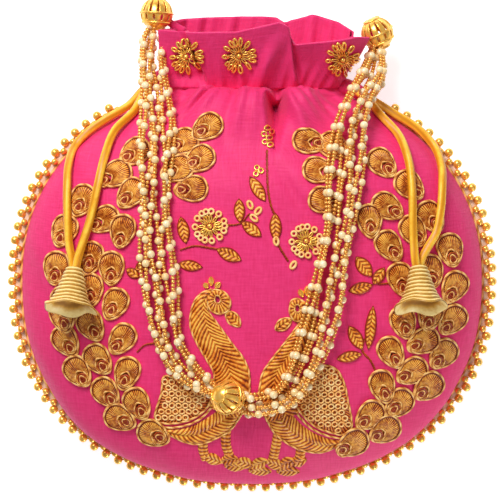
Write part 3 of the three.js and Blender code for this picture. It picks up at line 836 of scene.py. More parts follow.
def welt_piece(side, outer, inner):
    """A gathered cloth mouth of the channel that the two strands come out of."""
    a, b = spline(settle(outer, 2.0), 60), spline(settle(inner, 2.0), 60)
    middle = (a + b) / 2
    reach = int(np.searchsorted(lengths(middle), WELT_LENGTH))
    path = middle[:reach:2]
    t = np.linspace(0, 1, len(path))
    shapes = Shapes()
    shapes.tube(path, WELT_RADIUS * (1 - 0.25 * t) * (1 + 0.06 * np.sin(9 * t)), 20,
                up=np.tile((0.0, 0.0, 1.0), (len(path), 1)), flatten=1.25)
    return finish_mesh(f"{side}_channel_mouth", shapes)


class POTLI_OT_drawstrings(bpy.types.Operator):
    """Two satin strands a side and the yarn bell that they hang in"""

    bl_idname = "potli.drawstrings"
    bl_label = "Drawstrings and bells"

    def execute(self, context):
        diameter = context.scene.potli_sizes.cord_diameter
        radius = diameter / MM / 2
        for side, outer, inner, (apex, toward), crumple in (
                ("left", LEFT_OUTER, LEFT_INNER, LEFT_BELL, 0.17),
                ("right", RIGHT_OUTER, RIGHT_INNER, RIGHT_BELL, 0.61)):
            bell = bell_piece(f"{side}_bell_yarn", apex, toward, crumple)
            place(bell, "wound_yarn", BAG, "gold_yarn", f"{side}_bell")
            cords = {}
            for name, route in (("outer", outer), ("inner", inner)):
                path = spline(settle(route, radius), 110)
                if name == "inner":
                    # It crosses over the outer strand where both go into the bell
                    path[:, 2] += 2.4 * smooth((np.linspace(0, 1, len(path)) - 0.85) / 0.12)
                shapes = Shapes()
                shapes.tube(path, radius, sides=14)
                cord = finish_mesh(f"{side}_drawstring_{name}", shapes)
                place(cord, "gold_satin", BAG, "satin_cord", f"{side}_cord_{name}")
                cords[name] = cord, path
            cord, path = cords["outer"]
            cord, path = cords["inner"]
            path = path[::-1]
            place(welt_piece(side, outer, inner), "dupion_silk", BAG, "silk")
            channel = bpy.data.objects[f"{side}_channel_cord"]
            channel.data.materials.clear()
            channel.data.materials.append(finishes()["gold_satin"])
        return {"FINISHED"}


# Cloth

def arc_uv(points):
    """UV of a cloth net in mm: across from the middle column, up from the first row."""
    across = np.linalg.norm(np.diff(points, axis=1), axis=2)
    u = np.concatenate([np.zeros((len(points), 1)), np.cumsum(across, 1)], 1)
    u = u - u[:, points.shape[1] // 2][:, None]
    v = lengths(points[:, points.shape[1] // 2])
    return np.stack(np.broadcast_arrays(u, v[:, None]), -1)


def cloth_piece(name, points, flip):
    """A sewn cloth from its net of points, with UVs in mm."""
    shapes = Shapes()
    shapes.grid(points, uv=arc_uv(points))
    if flip:
        shapes.faces = [face[::-1] for face in shapes.faces]
        shapes.uvs = [uv[::-1] for uv in shapes.uvs]
    return finish_mesh(name, shapes, recalculate=False)


def thicken(piece, thickness):
    """Give a cloth its thickness, inwards."""
    solid = piece.modifiers.new("Thickness", "SOLIDIFY")
    solid.thickness, solid.offset = thickness, -1.0
    bpy.context.view_layer.objects.active = piece
    bpy.ops.object.modifier_apply(modifier=solid.name)


LINING_THICKNESS = 0.0005  # metres


class POTLI_OT_cloth(bpy.types.Operator):
    """Front and back silk with their gathers and frill, and the lining inside"""

    bl_idname = "potli.cloth"
    bl_label = "Cloth"

    def execute(self, context):
        rows = cloth_rows(170, 54)
        cuts = (
            ("front_silk", front_cloth(rows, 200), False, "dupion_silk", "silk", "front_panel"),
            ("back_silk", back_cloth(rows, 140), True, "dupion_silk", "silk", "back_panel"))
        inside = cloth_rows(40, 30)
        linings = (
            ("front_lining_cotton", front_cloth(inside, 90, lining_inset(inside, FRONT_LINING_INSET)),
             False, "cotton_lining", "lining", "front_lining"),
            ("back_lining_cotton", back_cloth(inside, 80, lining_inset(inside, BACK_LINING_INSET)),
             True, "cotton_lining", "lining", "back_lining"))
        for name, points, flip, finish, slot, panel in cuts + linings:
            piece = cloth_piece(name, points, flip)
            thicken(piece, context.scene.potli_sizes.silk_thickness if slot == "silk" else LINING_THICKNESS)
            place(piece, finish, BAG, slot, panel)
            if slot == "lining":
                # The frill is faced with the silk, down to the drawstrings
                piece.data.materials.append(finishes()["dupion_silk"])
                for face in piece.data.polygons:
                    face.material_index = int(face.center.y > NECK_Y * MM)
        return {"FINISHED"}


# Trim

TRIM_TOP_Y = 64.0
OUTER_BEADS_OUT, INNER_BEADS_OUT, INNER_BEADS_UP = 5.1, 2.6, 1.7  # from the seam
TRIM_EDGE_OUT, TRIM_EDGE_UP, LACE_FROM, LACE_TO = 0.4, 0.9, 0.2, 2.2
TRIM_EDGE_RADIUS = 0.8
TRIM_THREAD_RADIUS = 0.35
INNER_BEAD_SHARE = 0.74


def seam_path(outset):
    """The seam's edge in mm, moved out along its own normal, from the left shoulder round to the right."""
    turn = np.linspace(-1, 1, 900) * math.acos(-(TRIM_TOP_Y - MID_Y) / (BODY_LENGTH / 2))
    y = MID_Y - np.cos(turn) * BODY_LENGTH / 2
    half, _, _, seam, _ = section(y)
    path = np.stack([np.sign(turn) * half, y, seam], -1)
    along = directions(path)
    out = np.stack([along[:, 1], -along[:, 0], np.zeros(len(path))], -1)
    return path + outset * out / np.linalg.norm(out, axis=1, keepdims=True)


class POTLI_OT_trim(bpy.types.Operator):
    """Lace edge with an outer and an inner row of gilt beads"""

    bl_idname = "potli.trim"
    bl_label = "Beaded trim"

    def execute(self, context):
        sizes = context.scene.potli_sizes
        outer = sizes.trim_bead_diameter / MM
        inner = outer * INNER_BEAD_SHARE
        bead = bead_shape(10, 7, 0.96, 0.06)
        shapes = Shapes()
        line = seam_path(OUTER_BEADS_OUT)
        count = int(lengths(line)[-1] / (sizes.trim_spacing / MM))
        outside = evenly(line, count * 2 + 1)
        inside = evenly(seam_path(INNER_BEADS_OUT), count * 2 + 1)
        run = directions(outside)
        wander = np.sin(np.arange(count * 2 + 1) * 2.39)
        zigzag = []
        for k in range(count * 2 + 1):
            if k % 2:
                at = outside[k] + (0, 0, 0.5 * wander[k])
                shapes.stamp(bead, at, axes_along(run[k], outer))
            else:
                at = inside[k] + (0, 0, INNER_BEADS_UP + 0.4 * wander[k])
                shapes.stamp(bead, at, axes_along(run[k], inner))
            zigzag.append(at)
        shapes.kind = 1
        shapes.tube(evenly(np.array(zigzag), count * 8), TRIM_THREAD_RADIUS, 5)
        edge = evenly(seam_path(TRIM_EDGE_OUT), 400)
        shapes.tube(edge + (0, 0, TRIM_EDGE_UP), TRIM_EDGE_RADIUS, 6)
        # Lace: a pale ribbon whose outer edge is scalloped between the beads
        shapes.kind = 2
        steps = count * 6 + 1
        scallop = np.abs(np.sin(np.linspace(0, np.pi * count, steps)))[:, None]
        near, far = evenly(seam_path(LACE_FROM), steps), evenly(seam_path(LACE_TO), steps)
        out = (far - near) / np.linalg.norm(far - near, axis=1, keepdims=True)
        shapes.grid(np.stack([near, far + (0, 0, 0.6), far + out * (0.3 + 1.5 * scallop)], 1))
        piece = finish_mesh("seam_trim", shapes)
        place(piece, "polished_gilt couched_cord cotton_lace", BAG, "gilt", "bead_trim")
        return {"FINISHED"}


# Handle

LEFT_HANDLE = [
    (-46.6, 102.6, 19), (-47.6, 96, 24), (-47.6, 90, 29), (-46.5, 79, 36), (-45, 68, 42), (-45, 50, 0),
    (-45.4, 32.6, 0), (-45.3, 14.2, 0), (-44.4, 0, 0), (-42.6, -14, 0), (-40.6, -33, 0),
    (-37.6, -42.4, 0), (-31.5, -52, 0), (-26, -58, 0), (-20.8, -61.4, 0)]
RIGHT_HANDLE = [
    (-2.94, -67.23, 0), (4.5, -70.3, 0), (12.9, -67, 0), (20.4, -59, 0), (26.2, -45.9, 0),
    (31.3, -30.6, 0), (34.1, -20.2, 0), (36.9, -3.7, 0), (40.1, 11.7, 0), (42.6, 32.4, 0),
    (44.2, 46, 0), (46.6, 62.6, 50), (49.8, 71, 44), (54, 79, 37.5), (59, 86.5, 28), (61.4, 92.4, 20)]
STRAND_DIAMETER, STRAND_PITCH_ENDS, STRAND_PITCH_MIDDLE = 3.2, 2.5, 3.7
STRAND_PLACES = [(-2, 0), (-1, 0), (0, 0), (1, 0), (2, 0), (-1.5, 1), (-0.4, 1), (1.5, 1)]
STRAND_START = [0.0, 6.1, 2.4, 8.3, 4.6, 3.3, 9.2, 6.9]  # where each strand's first pearl sits
STRAND_THREAD_RADIUS = 0.3
SEEDS_BETWEEN = 4
STRAND_LEAD = 0.4  # how far out of a ball's middle a strand starts, as a share of the way to its route
BALL_RADIUS, BALL_WALL, BALL_SEGMENTS = 8.0, 0.7, 24
LONG_SLOT, SHORT_SLOT, SLOT_RIM = (0.12, 0.85), (-0.5, -0.1), 0.46  # heights are shares of the radius
BALL_WIRES = [(0.03, 0.45), (-0.55, 0.45), (0.88, 0.5), (-0.93, 0.6)]  # height as a share, wire radius
LEFT_BALL, RIGHT_BALL = np.array([-46.0, 112.4, 18.0]), np.array([60.4, 103.0, 18.0])
MIDDLE_BALL_AT = (-11.8, -64.1)
MIDDLE_BALL = np.array([*MIDDLE_BALL_AT, float(rest_height(*MIDDLE_BALL_AT, BALL_RADIUS))])


def strand_path(route, number, start_ball, end_ball):
    """One strand's middle line: beside its neighbours or on top of them, and into both balls."""
    across, layer = STRAND_PLACES[number]
    line = spline(settle(route, STRAND_DIAMETER / 2), 61)
    along = directions(line)
    sideways = np.stack([-along[:, 1], along[:, 0], np.zeros(len(line))], -1)
    sideways /= np.linalg.norm(sideways, axis=1, keepdims=True)
    t = np.linspace(0, 1, len(line))
    middle = np.sin(np.pi * t) ** 0.5
    pitch = STRAND_PITCH_ENDS + (STRAND_PITCH_MIDDLE - STRAND_PITCH_ENDS) * middle
    # The strands wander and cross a little, as threaded beads do
    wander = 1.3 * middle * np.sin(2 * np.pi * (t * 2.6 + number * 0.37))
    path = line + sideways * (across * pitch + wander)[:, None]
    rest = rest_height(path[:, 0], path[:, 1], STRAND_DIAMETER / 2)
    path[:, 2] = np.maximum(path[:, 2], rest)
    rise = layer * STRAND_PITCH_MIDDLE * (0.8 + 0.2 * np.cos(7 * t + number))
    path += np.cross(along, sideways) * rise[:, None]
    first = start_ball + STRAND_LEAD * (path[0] - start_ball)
    last = end_ball + STRAND_LEAD * (path[-1] - end_ball)
    return spline(np.vstack([first, path[1:-1:5], last]), 320)


def bead_strand(path, start, sizes, beads):
    """The beads of one strand on their thread, each pearl followed by small gilt beads."""
    run, along = lengths(path), directions(path)
    shapes = Shapes()
    widths = sizes.pearl_diameter / MM, sizes.seed_diameter / MM
    spacing = sizes.pearl_spacing / MM
    gap = spacing - widths[0]
    at = start - spacing
    while at < run[-1]:
        for k in range(SEEDS_BETWEEN + 1):
            here = at if k == 0 else at + widths[0] / 2 + gap * (k - 0.5) / SEEDS_BETWEEN
            if not 0 <= here <= run[-1]:
                continue
            middle = [np.interp(here, run, path[:, axis]) for axis in range(3)]
            aim = along[min(len(path) - 1, int(np.searchsorted(run, here)))]
            shapes.kind = min(k, 1)
            shapes.stamp(beads[shapes.kind], middle, axes_along(aim, widths[shapes.kind]))
        at += spacing
    shapes.kind = 1
    shapes.tube(path[::4], STRAND_THREAD_RADIUS, 4)
    return shapes


class POTLI_OT_strands(bpy.types.Operator):
    """Sixteen handle strands of pearls and small gilt beads"""

    bl_idname = "potli.strands"
    bl_label = "Handle strands"

    def execute(self, context):
        sizes = context.scene.potli_sizes
        beads = bead_shape(10, 7, 1.0, 0.04), bead_shape(6, 5, 0.8, 0.1)
        for side, route, start, end in (
                ("left", LEFT_HANDLE, LEFT_BALL, MIDDLE_BALL),
                ("right", RIGHT_HANDLE, MIDDLE_BALL, RIGHT_BALL)):
            for number in range(len(STRAND_PLACES)):
                path = strand_path(route, number, start, end)
                shapes = bead_strand(path, STRAND_START[number], sizes, beads)
                name = f"{side}_strand_{number + 1}"
                piece = finish_mesh(f"{name}_beads", shapes)
                place(piece, "imitation_pearl pale_gilt", HANDLE, "pearl", name)
        return {"FINISHED"}


def pierced_ball():
    """A hollow ball with slit gores, as points, faces and UVs."""
    start_shape()
    bpy.ops.mesh.primitive_uv_sphere_add(segments=BALL_SEGMENTS, ring_count=12, radius=BALL_RADIUS * MM)
    ball = bpy.context.object
    bpy.ops.object.mode_set(mode="EDIT")
    bpy.ops.mesh.select_mode(type="FACE")
    work = bmesh.from_edit_mesh(ball.data)
    # Every second gore is slit open, in the upper half as one long slot and below it as a short one
    for face in work.faces:
        middle = face.calc_center_median() / (BALL_RADIUS * MM)
        gore = int((math.atan2(middle.y, middle.x) / (2 * math.pi) + 1) * BALL_SEGMENTS) % 2
        low, high = SHORT_SLOT if gore else LONG_SLOT
        face.select = low < middle.z < high
    bmesh.update_edit_mesh(ball.data)
    bpy.ops.mesh.inset(thickness=SLOT_RIM * MM)
    bpy.ops.mesh.delete(type="FACE")
    bpy.ops.mesh.select_all(action="SELECT")
    bpy.ops.object.mode_set(mode="OBJECT")
    wall = ball.modifiers.new("Wall", "SOLIDIFY")
    wall.thickness, wall.offset = BALL_WALL * MM, -1.0
    bpy.ops.object.modifier_apply(modifier=wall.name)
    round_off = ball.modifiers.new("Rounding", "SUBSURF")
    round_off.levels = round_off.render_levels = 1
    bpy.ops.object.modifier_apply(modifier=round_off.name)
    return modelled(ball)


class POTLI_OT_balls(bpy.types.Operator):
    """Three pierced filigree balls of the handle"""

    bl_idname = "potli.balls"
    bl_label = "Filigree balls"

    def execute(self, context):
        shape = pierced_ball()
        for name, middle, up in (
                ("left_end_ball", LEFT_BALL, LEFT_BALL - LEFT_HANDLE[0]),
                ("right_end_ball", RIGHT_BALL, RIGHT_BALL - RIGHT_HANDLE[-1] + (-4.0, 0.0, 3.0)),
                ("middle_ball", MIDDLE_BALL, np.array([-0.55, 0.35, 0.75]))):
            axes = axes_along(up / np.linalg.norm(up))
            shapes = Shapes()
            shapes.stamp(shape, middle, axes)
            # Twisted wires round the ball, and a rolled collar where the strands go in
            turn = turns(48)
            for level, radius in BALL_WIRES:
                wide = BALL_RADIUS * math.sqrt(1 - level * level)
                ring = middle + BALL_RADIUS * level * axes[2] + wide * (
                    np.cos(turn)[:, None] * axes[0] + np.sin(turn)[:, None] * axes[1])
                shapes.tube(ring, radius * (1 + 0.15 * np.sin(12 * turn)), 6, closed=True)
            piece = finish_mesh(f"{name}_filigree", shapes, recalculate=False)
            place(piece, "polished_gilt", HANDLE, "gilt", name)
        return {"FINISHED"}


LEFT_TAB_ROOT, RIGHT_TAB_ROOT = (-33.0, 103.5, 16.5), (47.5, 96.0, 16.5)
TAB_HALF_WIDTH, TAB_HALF_DEPTH = 2.4, 1.5


class POTLI_OT_tabs(bpy.types.Operator):
    """Folded silk tabs that carry the end balls"""

    bl_idname = "potli.tabs"
    bl_label = "Tabs"

    def execute(self, context):
        for name, root, ball in (
                ("left_tab", LEFT_TAB_ROOT, LEFT_BALL), ("right_tab", RIGHT_TAB_ROOT, RIGHT_BALL)):
            path = evenly(np.array([root, ball]), 14)
            shapes = Shapes()
            pinch = 1 - 0.25 * np.sin(np.linspace(0, np.pi, 14))
            shapes.tube(path, TAB_HALF_WIDTH * pinch, 12, flatten=TAB_HALF_DEPTH / TAB_HALF_WIDTH,
                        up=np.tile((0.0, 0.0, 1.0), (14, 1)))
            place(finish_mesh(f"{name}_silk", shapes), "dupion_silk", BAG, "silk", name)
        return {"FINISHED"}


# Embroidery. Places are pixels of the photograph's frame, and each stitch lies on the cloth seen there.

class Ground:
    """The front cloth under the embroidery, reached from a pixel."""

    def __init__(self):
        mesh = bpy.data.objects["front_silk"].data
        self.tree = BVHTree.FromPolygons([v.co for v in mesh.vertices], [p.vertices for p in mesh.polygons])
        self.eye, self.right, self.up, self.forward = camera_axes()

    def at(self, pixels, lift=0.0):
        """Points in mm and normals on the cloth under an array of pixels, raised by lift."""
        pixels = np.asarray(pixels, float)
        flat = pixels.reshape(-1, 2)
        points, normals = np.empty((len(flat), 3)), np.empty((len(flat), 3))
        start = Vector(self.eye * MM)
        for k, (x, y) in enumerate(flat):
            aim = self.forward * FOCAL_PIXELS + self.right * (x - PHOTO_WIDTH / 2)
            aim = aim - self.up * (y - PHOTO_HEIGHT / 2)
            hit, normal, _, _ = self.tree.ray_cast(start, Vector(aim))
            if hit is None:
                guess = self.eye + aim / FOCAL_PIXELS * CAMERA_DISTANCE
                hit, normal, _, _ = self.tree.find_nearest(Vector(guess * MM))
            points[k], normals[k] = np.array(hit) / MM, normal
        shape = pixels.shape[:-1] + (3,)
        points, normals = points.reshape(shape), normals.reshape(shape)
        return points + normals * np.broadcast_to(lift, pixels.shape[:-1])[..., None], normals


def beside(direction):
    """A direction of the picture after a quarter turn."""
    return np.array([-direction[1], direction[0]])


def couch(shapes, ground, line, radius, closed=False, lift=0.0, sides=6):
    """Sew a cord along a line of pixels."""
    points, normals = ground.at(line, lift + radius * 0.5)
    shapes.tube(points, radius, sides, closed=closed, up=normals)


def ring_line(line, count):
    """A closed line of pixels as count even points, rounded at its corners."""
    line = np.asarray(line, float)
    around = np.vstack([line[-2:], line, line[:3]])
    dense = spline(np.hstack([around, np.zeros((len(around), 1))]), 40 * len(around))[:, :2]
    start = np.argmin(np.linalg.norm(dense[:60 * len(around)] - line[0], axis=1)[: len(dense) // 2])
    stop = len(dense) // 2 + np.argmin(np.linalg.norm(dense[len(dense) // 2:] - line[0], axis=1))
    return evenly(dense[start:stop + 1], count + 1)[:-1]


def smooth_line(line, count):
    """An open line of pixels as count even points on one smooth curve."""
    line = np.asarray(line, float)
    return spline(np.hstack([line, np.zeros((len(line), 1))]), count)[:, :2]


def radial_fill(shapes, ground, rim, focus, inner, height, lift=0.0):
    """Padded satin stitch that runs from a focus out to a rim."""
    share = np.array([inner, inner + 0.06, 0.45, 0.6, 0.75, 0.87, 0.95, 1.0])
    net = np.asarray(focus) + (np.asarray(rim)[None] - focus) * share[:, None, None]
    swell_out = np.array([0.0, 0.55, 0.8, 1.0, 0.95, 0.75, 0.45, -0.1])
    points, _ = ground.at(net, lift + height * swell_out[:, None])
    girth = lengths(points[-1])[-1]
    shapes.grid(points, around=True, u_size=girth, v_size=girth / 6)


def chevron_fill(shapes, ground, left, right, height, rows=46, slant=0.9, lift=0.0):
    """Herringbone satin stitch between two edges, with a valley down its middle."""
    left, right = smooth_line(left, rows), smooth_line(right, rows)
    across = np.linspace(0, 1, 11)
    net = left[:, None] + (right - left)[:, None] * across[None, :, None]
    pad = 0.3 + 0.7 * np.abs(np.sin(2 * np.pi * across)) ** 0.7
    pad[[0, -1]] = -0.05
    points, _ = ground.at(net, lift + height * np.broadcast_to(pad, net.shape[:2]))
    spine = points[:, len(across) // 2]
    run, along = lengths(spine), directions(spine)
    offset = points - spine[:, None]
    ahead = np.einsum("ijk,ik->ij", offset, along)
    aside = np.linalg.norm(offset - ahead[..., None] * along[:, None], axis=2) * np.sign(across - 0.5)
    # Stitches slant from each edge to the spine, measured in mm along it and across it
    measure = np.stack([run[:, None] + ahead + slant * np.abs(aside), aside], -1)
    shapes.grid(points, uv=measure)


def leaf(shapes, ground, root, tip, width, height):
    """A pointed leaf of slanting satin stitch between two pixels."""
    root, tip = np.asarray(root, float), np.asarray(tip, float)
    side = beside(tip - root) / max(np.linalg.norm(tip - root), 1e-6)
    t = np.linspace(0.02, 0.98, 11)
    bulge = width / 2 * np.sin(np.pi * t) ** 0.8
    middle = root + (tip - root) * t[:, None]
    chevron_fill(shapes, ground, middle - side * bulge[:, None], middle + side * bulge[:, None],
                 height, rows=14, slant=0.8)


# Feathers as (middle x, middle y, eye x, eye y)
LEFT_FEATHERS = [
    (183, 143, 176, 147), (207, 128, 202, 132), (199, 160, 193, 164), (177, 170, 170, 173),
    (191, 189, 182, 190), (135, 153, 128, 158), (116, 175, 105, 181), (131, 194, 126, 200),
    (104, 220, 96, 225), (83, 201, 80, 207), (65, 231, 62, 238), (123, 231, 121, 241),
    (57, 268, 56, 276), (91, 258, 90, 263), (112, 268, 112, 276), (66, 302, 68, 309),
    (91, 290, 91, 297), (115, 304, 112, 310), (64, 316, 66, 323), (92, 325, 96, 332),
    (67, 341, 71, 347), (122, 339, 117, 346), (99, 359, 104, 365), (79, 371, 84, 378),
    (127, 373, 125, 380), (107, 392, 112, 398), (138, 403, 142, 410), (121, 417, 127, 420),
    (154, 433, 160, 436)]
RIGHT_FEATHERS = [
    (334, 147, 341, 151), (309, 142, 317, 144), (319, 171, 328, 173), (325, 201, 333, 204),
    (382, 164, 388, 170), (409, 186, 416, 193), (387, 207, 395, 212), (369, 221, 370, 228),
    (430, 217, 435, 224), (413, 231, 417, 238), (389, 246, 394, 253), (449, 250, 451, 258),
    (430, 271, 432, 279), (400, 279, 402, 287), (453, 287, 449, 295), (429, 314, 427, 322),
    (403, 322, 405, 329), (451, 320, 445, 327), (422, 341, 414, 345), (391, 352, 395, 359),
    (442, 354, 436, 361), (411, 371, 403, 376), (382, 386, 384, 393), (427, 386, 420, 392),
    (398, 403, 393, 408), (369, 415, 363, 421), (384, 429, 376, 434), (352, 442, 342, 448)]
FEATHER_HALF_LENGTH, FEATHER_HALF_WIDTH = 16.8, 11.8
FEATHER_PAD = 1.5
FEATHER_EYES = [(7.6, 6.2, 1.6, 0.9), (4.2, 3.0, -0.4, 1.0)]  # half length, half width, shift, height
EYE_COIL_RADIUS = 5.0
CORD_RADIUS = 0.52


def feather(shapes, ground, middle_x, middle_y, eye_x, eye_y, lift):
    """One padded feather: radiating stitch, a cord round it, and a looped eye with a copper coil."""
    middle, eye = np.array([middle_x, middle_y], float), np.array([eye_x, eye_y], float)
    along = (middle - eye) / np.linalg.norm(middle - eye)
    side = beside(along)
    turn = turns(32)
    wide = FEATHER_HALF_WIDTH * np.sin(turn) * (1 + 0.28 * np.cos(turn))
    rim = middle + along * (FEATHER_HALF_LENGTH * np.cos(turn) * 0.98)[:, None] + side * wide[:, None]
    shapes.kind = 0
    radial_fill(shapes, ground, rim, eye, 0.26, FEATHER_PAD, lift)
    shapes.kind = 1
    couch(shapes, ground, rim, CORD_RADIUS * 1.2, closed=True, lift=lift + 0.4)
    # A dark line of painted shade between the cord and the stitching, in the shadowed thread
    shapes.kind = 3
    couch(shapes, ground, middle + (rim - middle) * 0.9, CORD_RADIUS * 0.8, closed=True, lift=lift + 0.7,
          sides=5)
    shapes.kind = 1
    # The eye: a ring with a smaller drop inside it, on a bed of copper thread
    loop = turns(20)
    for long, wide, back, rise in FEATHER_EYES:
        drop = np.stack([np.cos(loop) * long + back, np.sin(loop) * wide * (1 - 0.25 * np.cos(loop))], -1)
        ring = eye + along * drop[:, :1] + side * drop[:, 1:]
        couch(shapes, ground, ring, CORD_RADIUS * 0.8, closed=True, lift=lift + rise)
    shapes.kind = 2
    coil = np.linspace(0, 6 * np.pi, 30)
    curl = (coil / (6 * np.pi) * EYE_COIL_RADIUS)[:, None] * np.stack([np.cos(coil), np.sin(coil)], -1)
    curl = eye + along * 0.8 + curl
    couch(shapes, ground, curl, CORD_RADIUS, lift=lift + 0.8, sides=5)


class POTLI_OT_feathers(bpy.types.Operator):
    """Padded feather motifs down both sides of the front"""

    bl_idname = "potli.feathers"
    bl_label = "Feather embroidery"

    def execute(self, context):
        ground = Ground()
        for name, places in (("left_feathers", LEFT_FEATHERS), ("right_feathers", RIGHT_FEATHERS)):
            shapes = Shapes()
            for k, where in enumerate(places):
                feather(shapes, ground, *where, lift=0.12 * (k % 4))
            place(finish_mesh(name, shapes), "zari_satin couched_cord copper_zari dark_zari", BAG, "gilt")
        return {"FINISHED"}


# Two facing peacocks, each drawn between the edges that the photograph shows
LEFT_BIRD = {
    "neck_out": [
        (208, 406), (213, 390), (214, 373), (207.6, 361), (199.6, 347.7), (192.9, 334.3),
        (190.2, 323.6), (191.5, 310), (195.5, 299.5), (202, 292.8), (211.6, 289.4)],
    "neck_in": [
        (239, 418), (248, 402), (249.5, 384), (248.5, 370.4), (242.4, 357), (233, 345), (222.3, 330.3),
        (214.3, 319.6), (208.3, 311.5), (206.5, 304), (209, 298)],
    "head": [
        (208, 305), (208, 296), (213, 290), (222.3, 290.8), (229, 296.8), (230.4, 304.8),
        (226.3, 311.5), (218.3, 313.5), (211.6, 311)],
    "head_eye": (217.5, 299),
    "beak": ((226, 311.5), (240, 326)),
    "crest": [(211.2, 276, 211.2, 286), (203.5, 283, 208, 288), (220.6, 282, 215, 288)],
    "wing": [
        (164.7, 375.8), (161.4, 393), (155.4, 418.7), (163.4, 422.7), (176.8, 422.7), (191.5, 418.7),
        (202.2, 412), (210, 403), (212, 394), (190, 386)],
    "wing_edge": [
        (151.5, 419.5), (157, 424.5), (167, 427), (179, 426.4), (193, 422.4), (204.5, 415), (213, 405)],
    "body_in": [(224, 405), (214, 413), (204, 419.5), (192.5, 425.5), (178, 429), (163, 428.6)],
    "body_out": [(239, 418), (230.4, 429.4), (217, 437.4), (200.9, 443.4), (184.8, 441.4), (164, 431)],
    "legs": [[(203, 440), (203, 449), (206, 460)], [(226, 430), (226, 445), (230, 457)]],
}
RIGHT_BIRD = {
    "neck_out": [
        (300, 412), (291, 396), (288, 381), (293, 368), (301, 357), (309, 345), (314, 333),
        (315.5, 322), (313.5, 311), (308, 304), (301, 300)],
    "neck_in": [
        (267.6, 421), (259.5, 404), (259.8, 385), (262.5, 373), (270.5, 361), (278.6, 350.4),
        (288, 338.5), (295, 329), (300.5, 320), (302, 313), (300, 307)],
    "head": [
        (303, 314), (303.5, 304.5), (298, 298.5), (292, 300), (289.6, 307), (290, 314), (294, 320),
        (299, 321)],
    "head_eye": (297.5, 308),
    "beak": ((291, 319), (275.6, 329.5)),
    "crest": [(308, 285, 306, 296), (299, 289, 303, 297), (316, 292, 309, 298)],
    "wing": [
        (312, 366), (320.7, 364.5), (336, 369), (344, 383), (346.8, 396), (351, 428.5), (343.5, 434),
        (329.4, 431.7), (314.2, 425.2), (303.4, 415.4), (295.8, 404.6), (293.6, 398), (298, 384)],
    "wing_edge": [
        (354, 430), (349, 436), (341, 437.5), (328, 435.2), (312.5, 428.6), (300.8, 418), (292, 406)],
    "body_in": [(286, 404), (297, 420), (310, 430.5), (325, 437.5), (337, 440), (347, 439.5)],
    "body_out": [(267.6, 421), (274, 431.7), (287, 442.6), (303.4, 450), (320.7, 451.8), (343, 443)],
    "legs": [[(301, 447), (300, 456), (297, 466)], [(278, 434), (276, 446), (273, 459)]],
}
PERCH = [((203, 456), (222, 462), 12), ((220, 461), (238, 458), 12), ((224, 465), (245, 467), 11),
         ((236, 460), (254, 466), 12), ((250, 467), (268, 460), 12), ((248, 470), (272, 471), 10),
         ((266, 461), (284, 467), 12), ((278, 467), (295, 459), 12), ((276, 471), (300, 471), 10),
         ((290, 463), (307, 459), 12)]
LEAF_PAD = 0.9
LEG_HALF_WIDTH = 5.0
LEG_PAD, BODY_PAD, NECK_PAD, HEAD_PAD, BEAK_PAD, CREST_PAD, WING_PAD = 0.8, 1.3, 1.6, 1.5, 1.0, 1.2, 0.5
BEAK_WIDTH, CREST_WIDTH = 9.5, 6.5
SEQUIN_PITCH = 6.8
SEQUIN_SIZE = 3.3


def inside(line, points):
    """Which of the points lie inside a closed line."""
    x, y = points[:, 0], points[:, 1]
    within = np.zeros(len(points), bool)
    for (ax, ay), (bx, by) in zip(line, np.roll(line, -1, axis=0)):
        crosses = (ay > y) != (by > y)
        within ^= crosses & (x < (bx - ax) * (y - ay) / (by - ay + 1e-9) + ax)
    return within


def sequin_shape():
    """A small ring sequin of unit diameter, modelled from a ring of wire."""
    start_shape()
    bpy.ops.mesh.primitive_torus_add(major_segments=10, minor_segments=4, major_radius=0.38 * MM,
                                     minor_radius=0.13 * MM)
    return modelled(bpy.context.object)


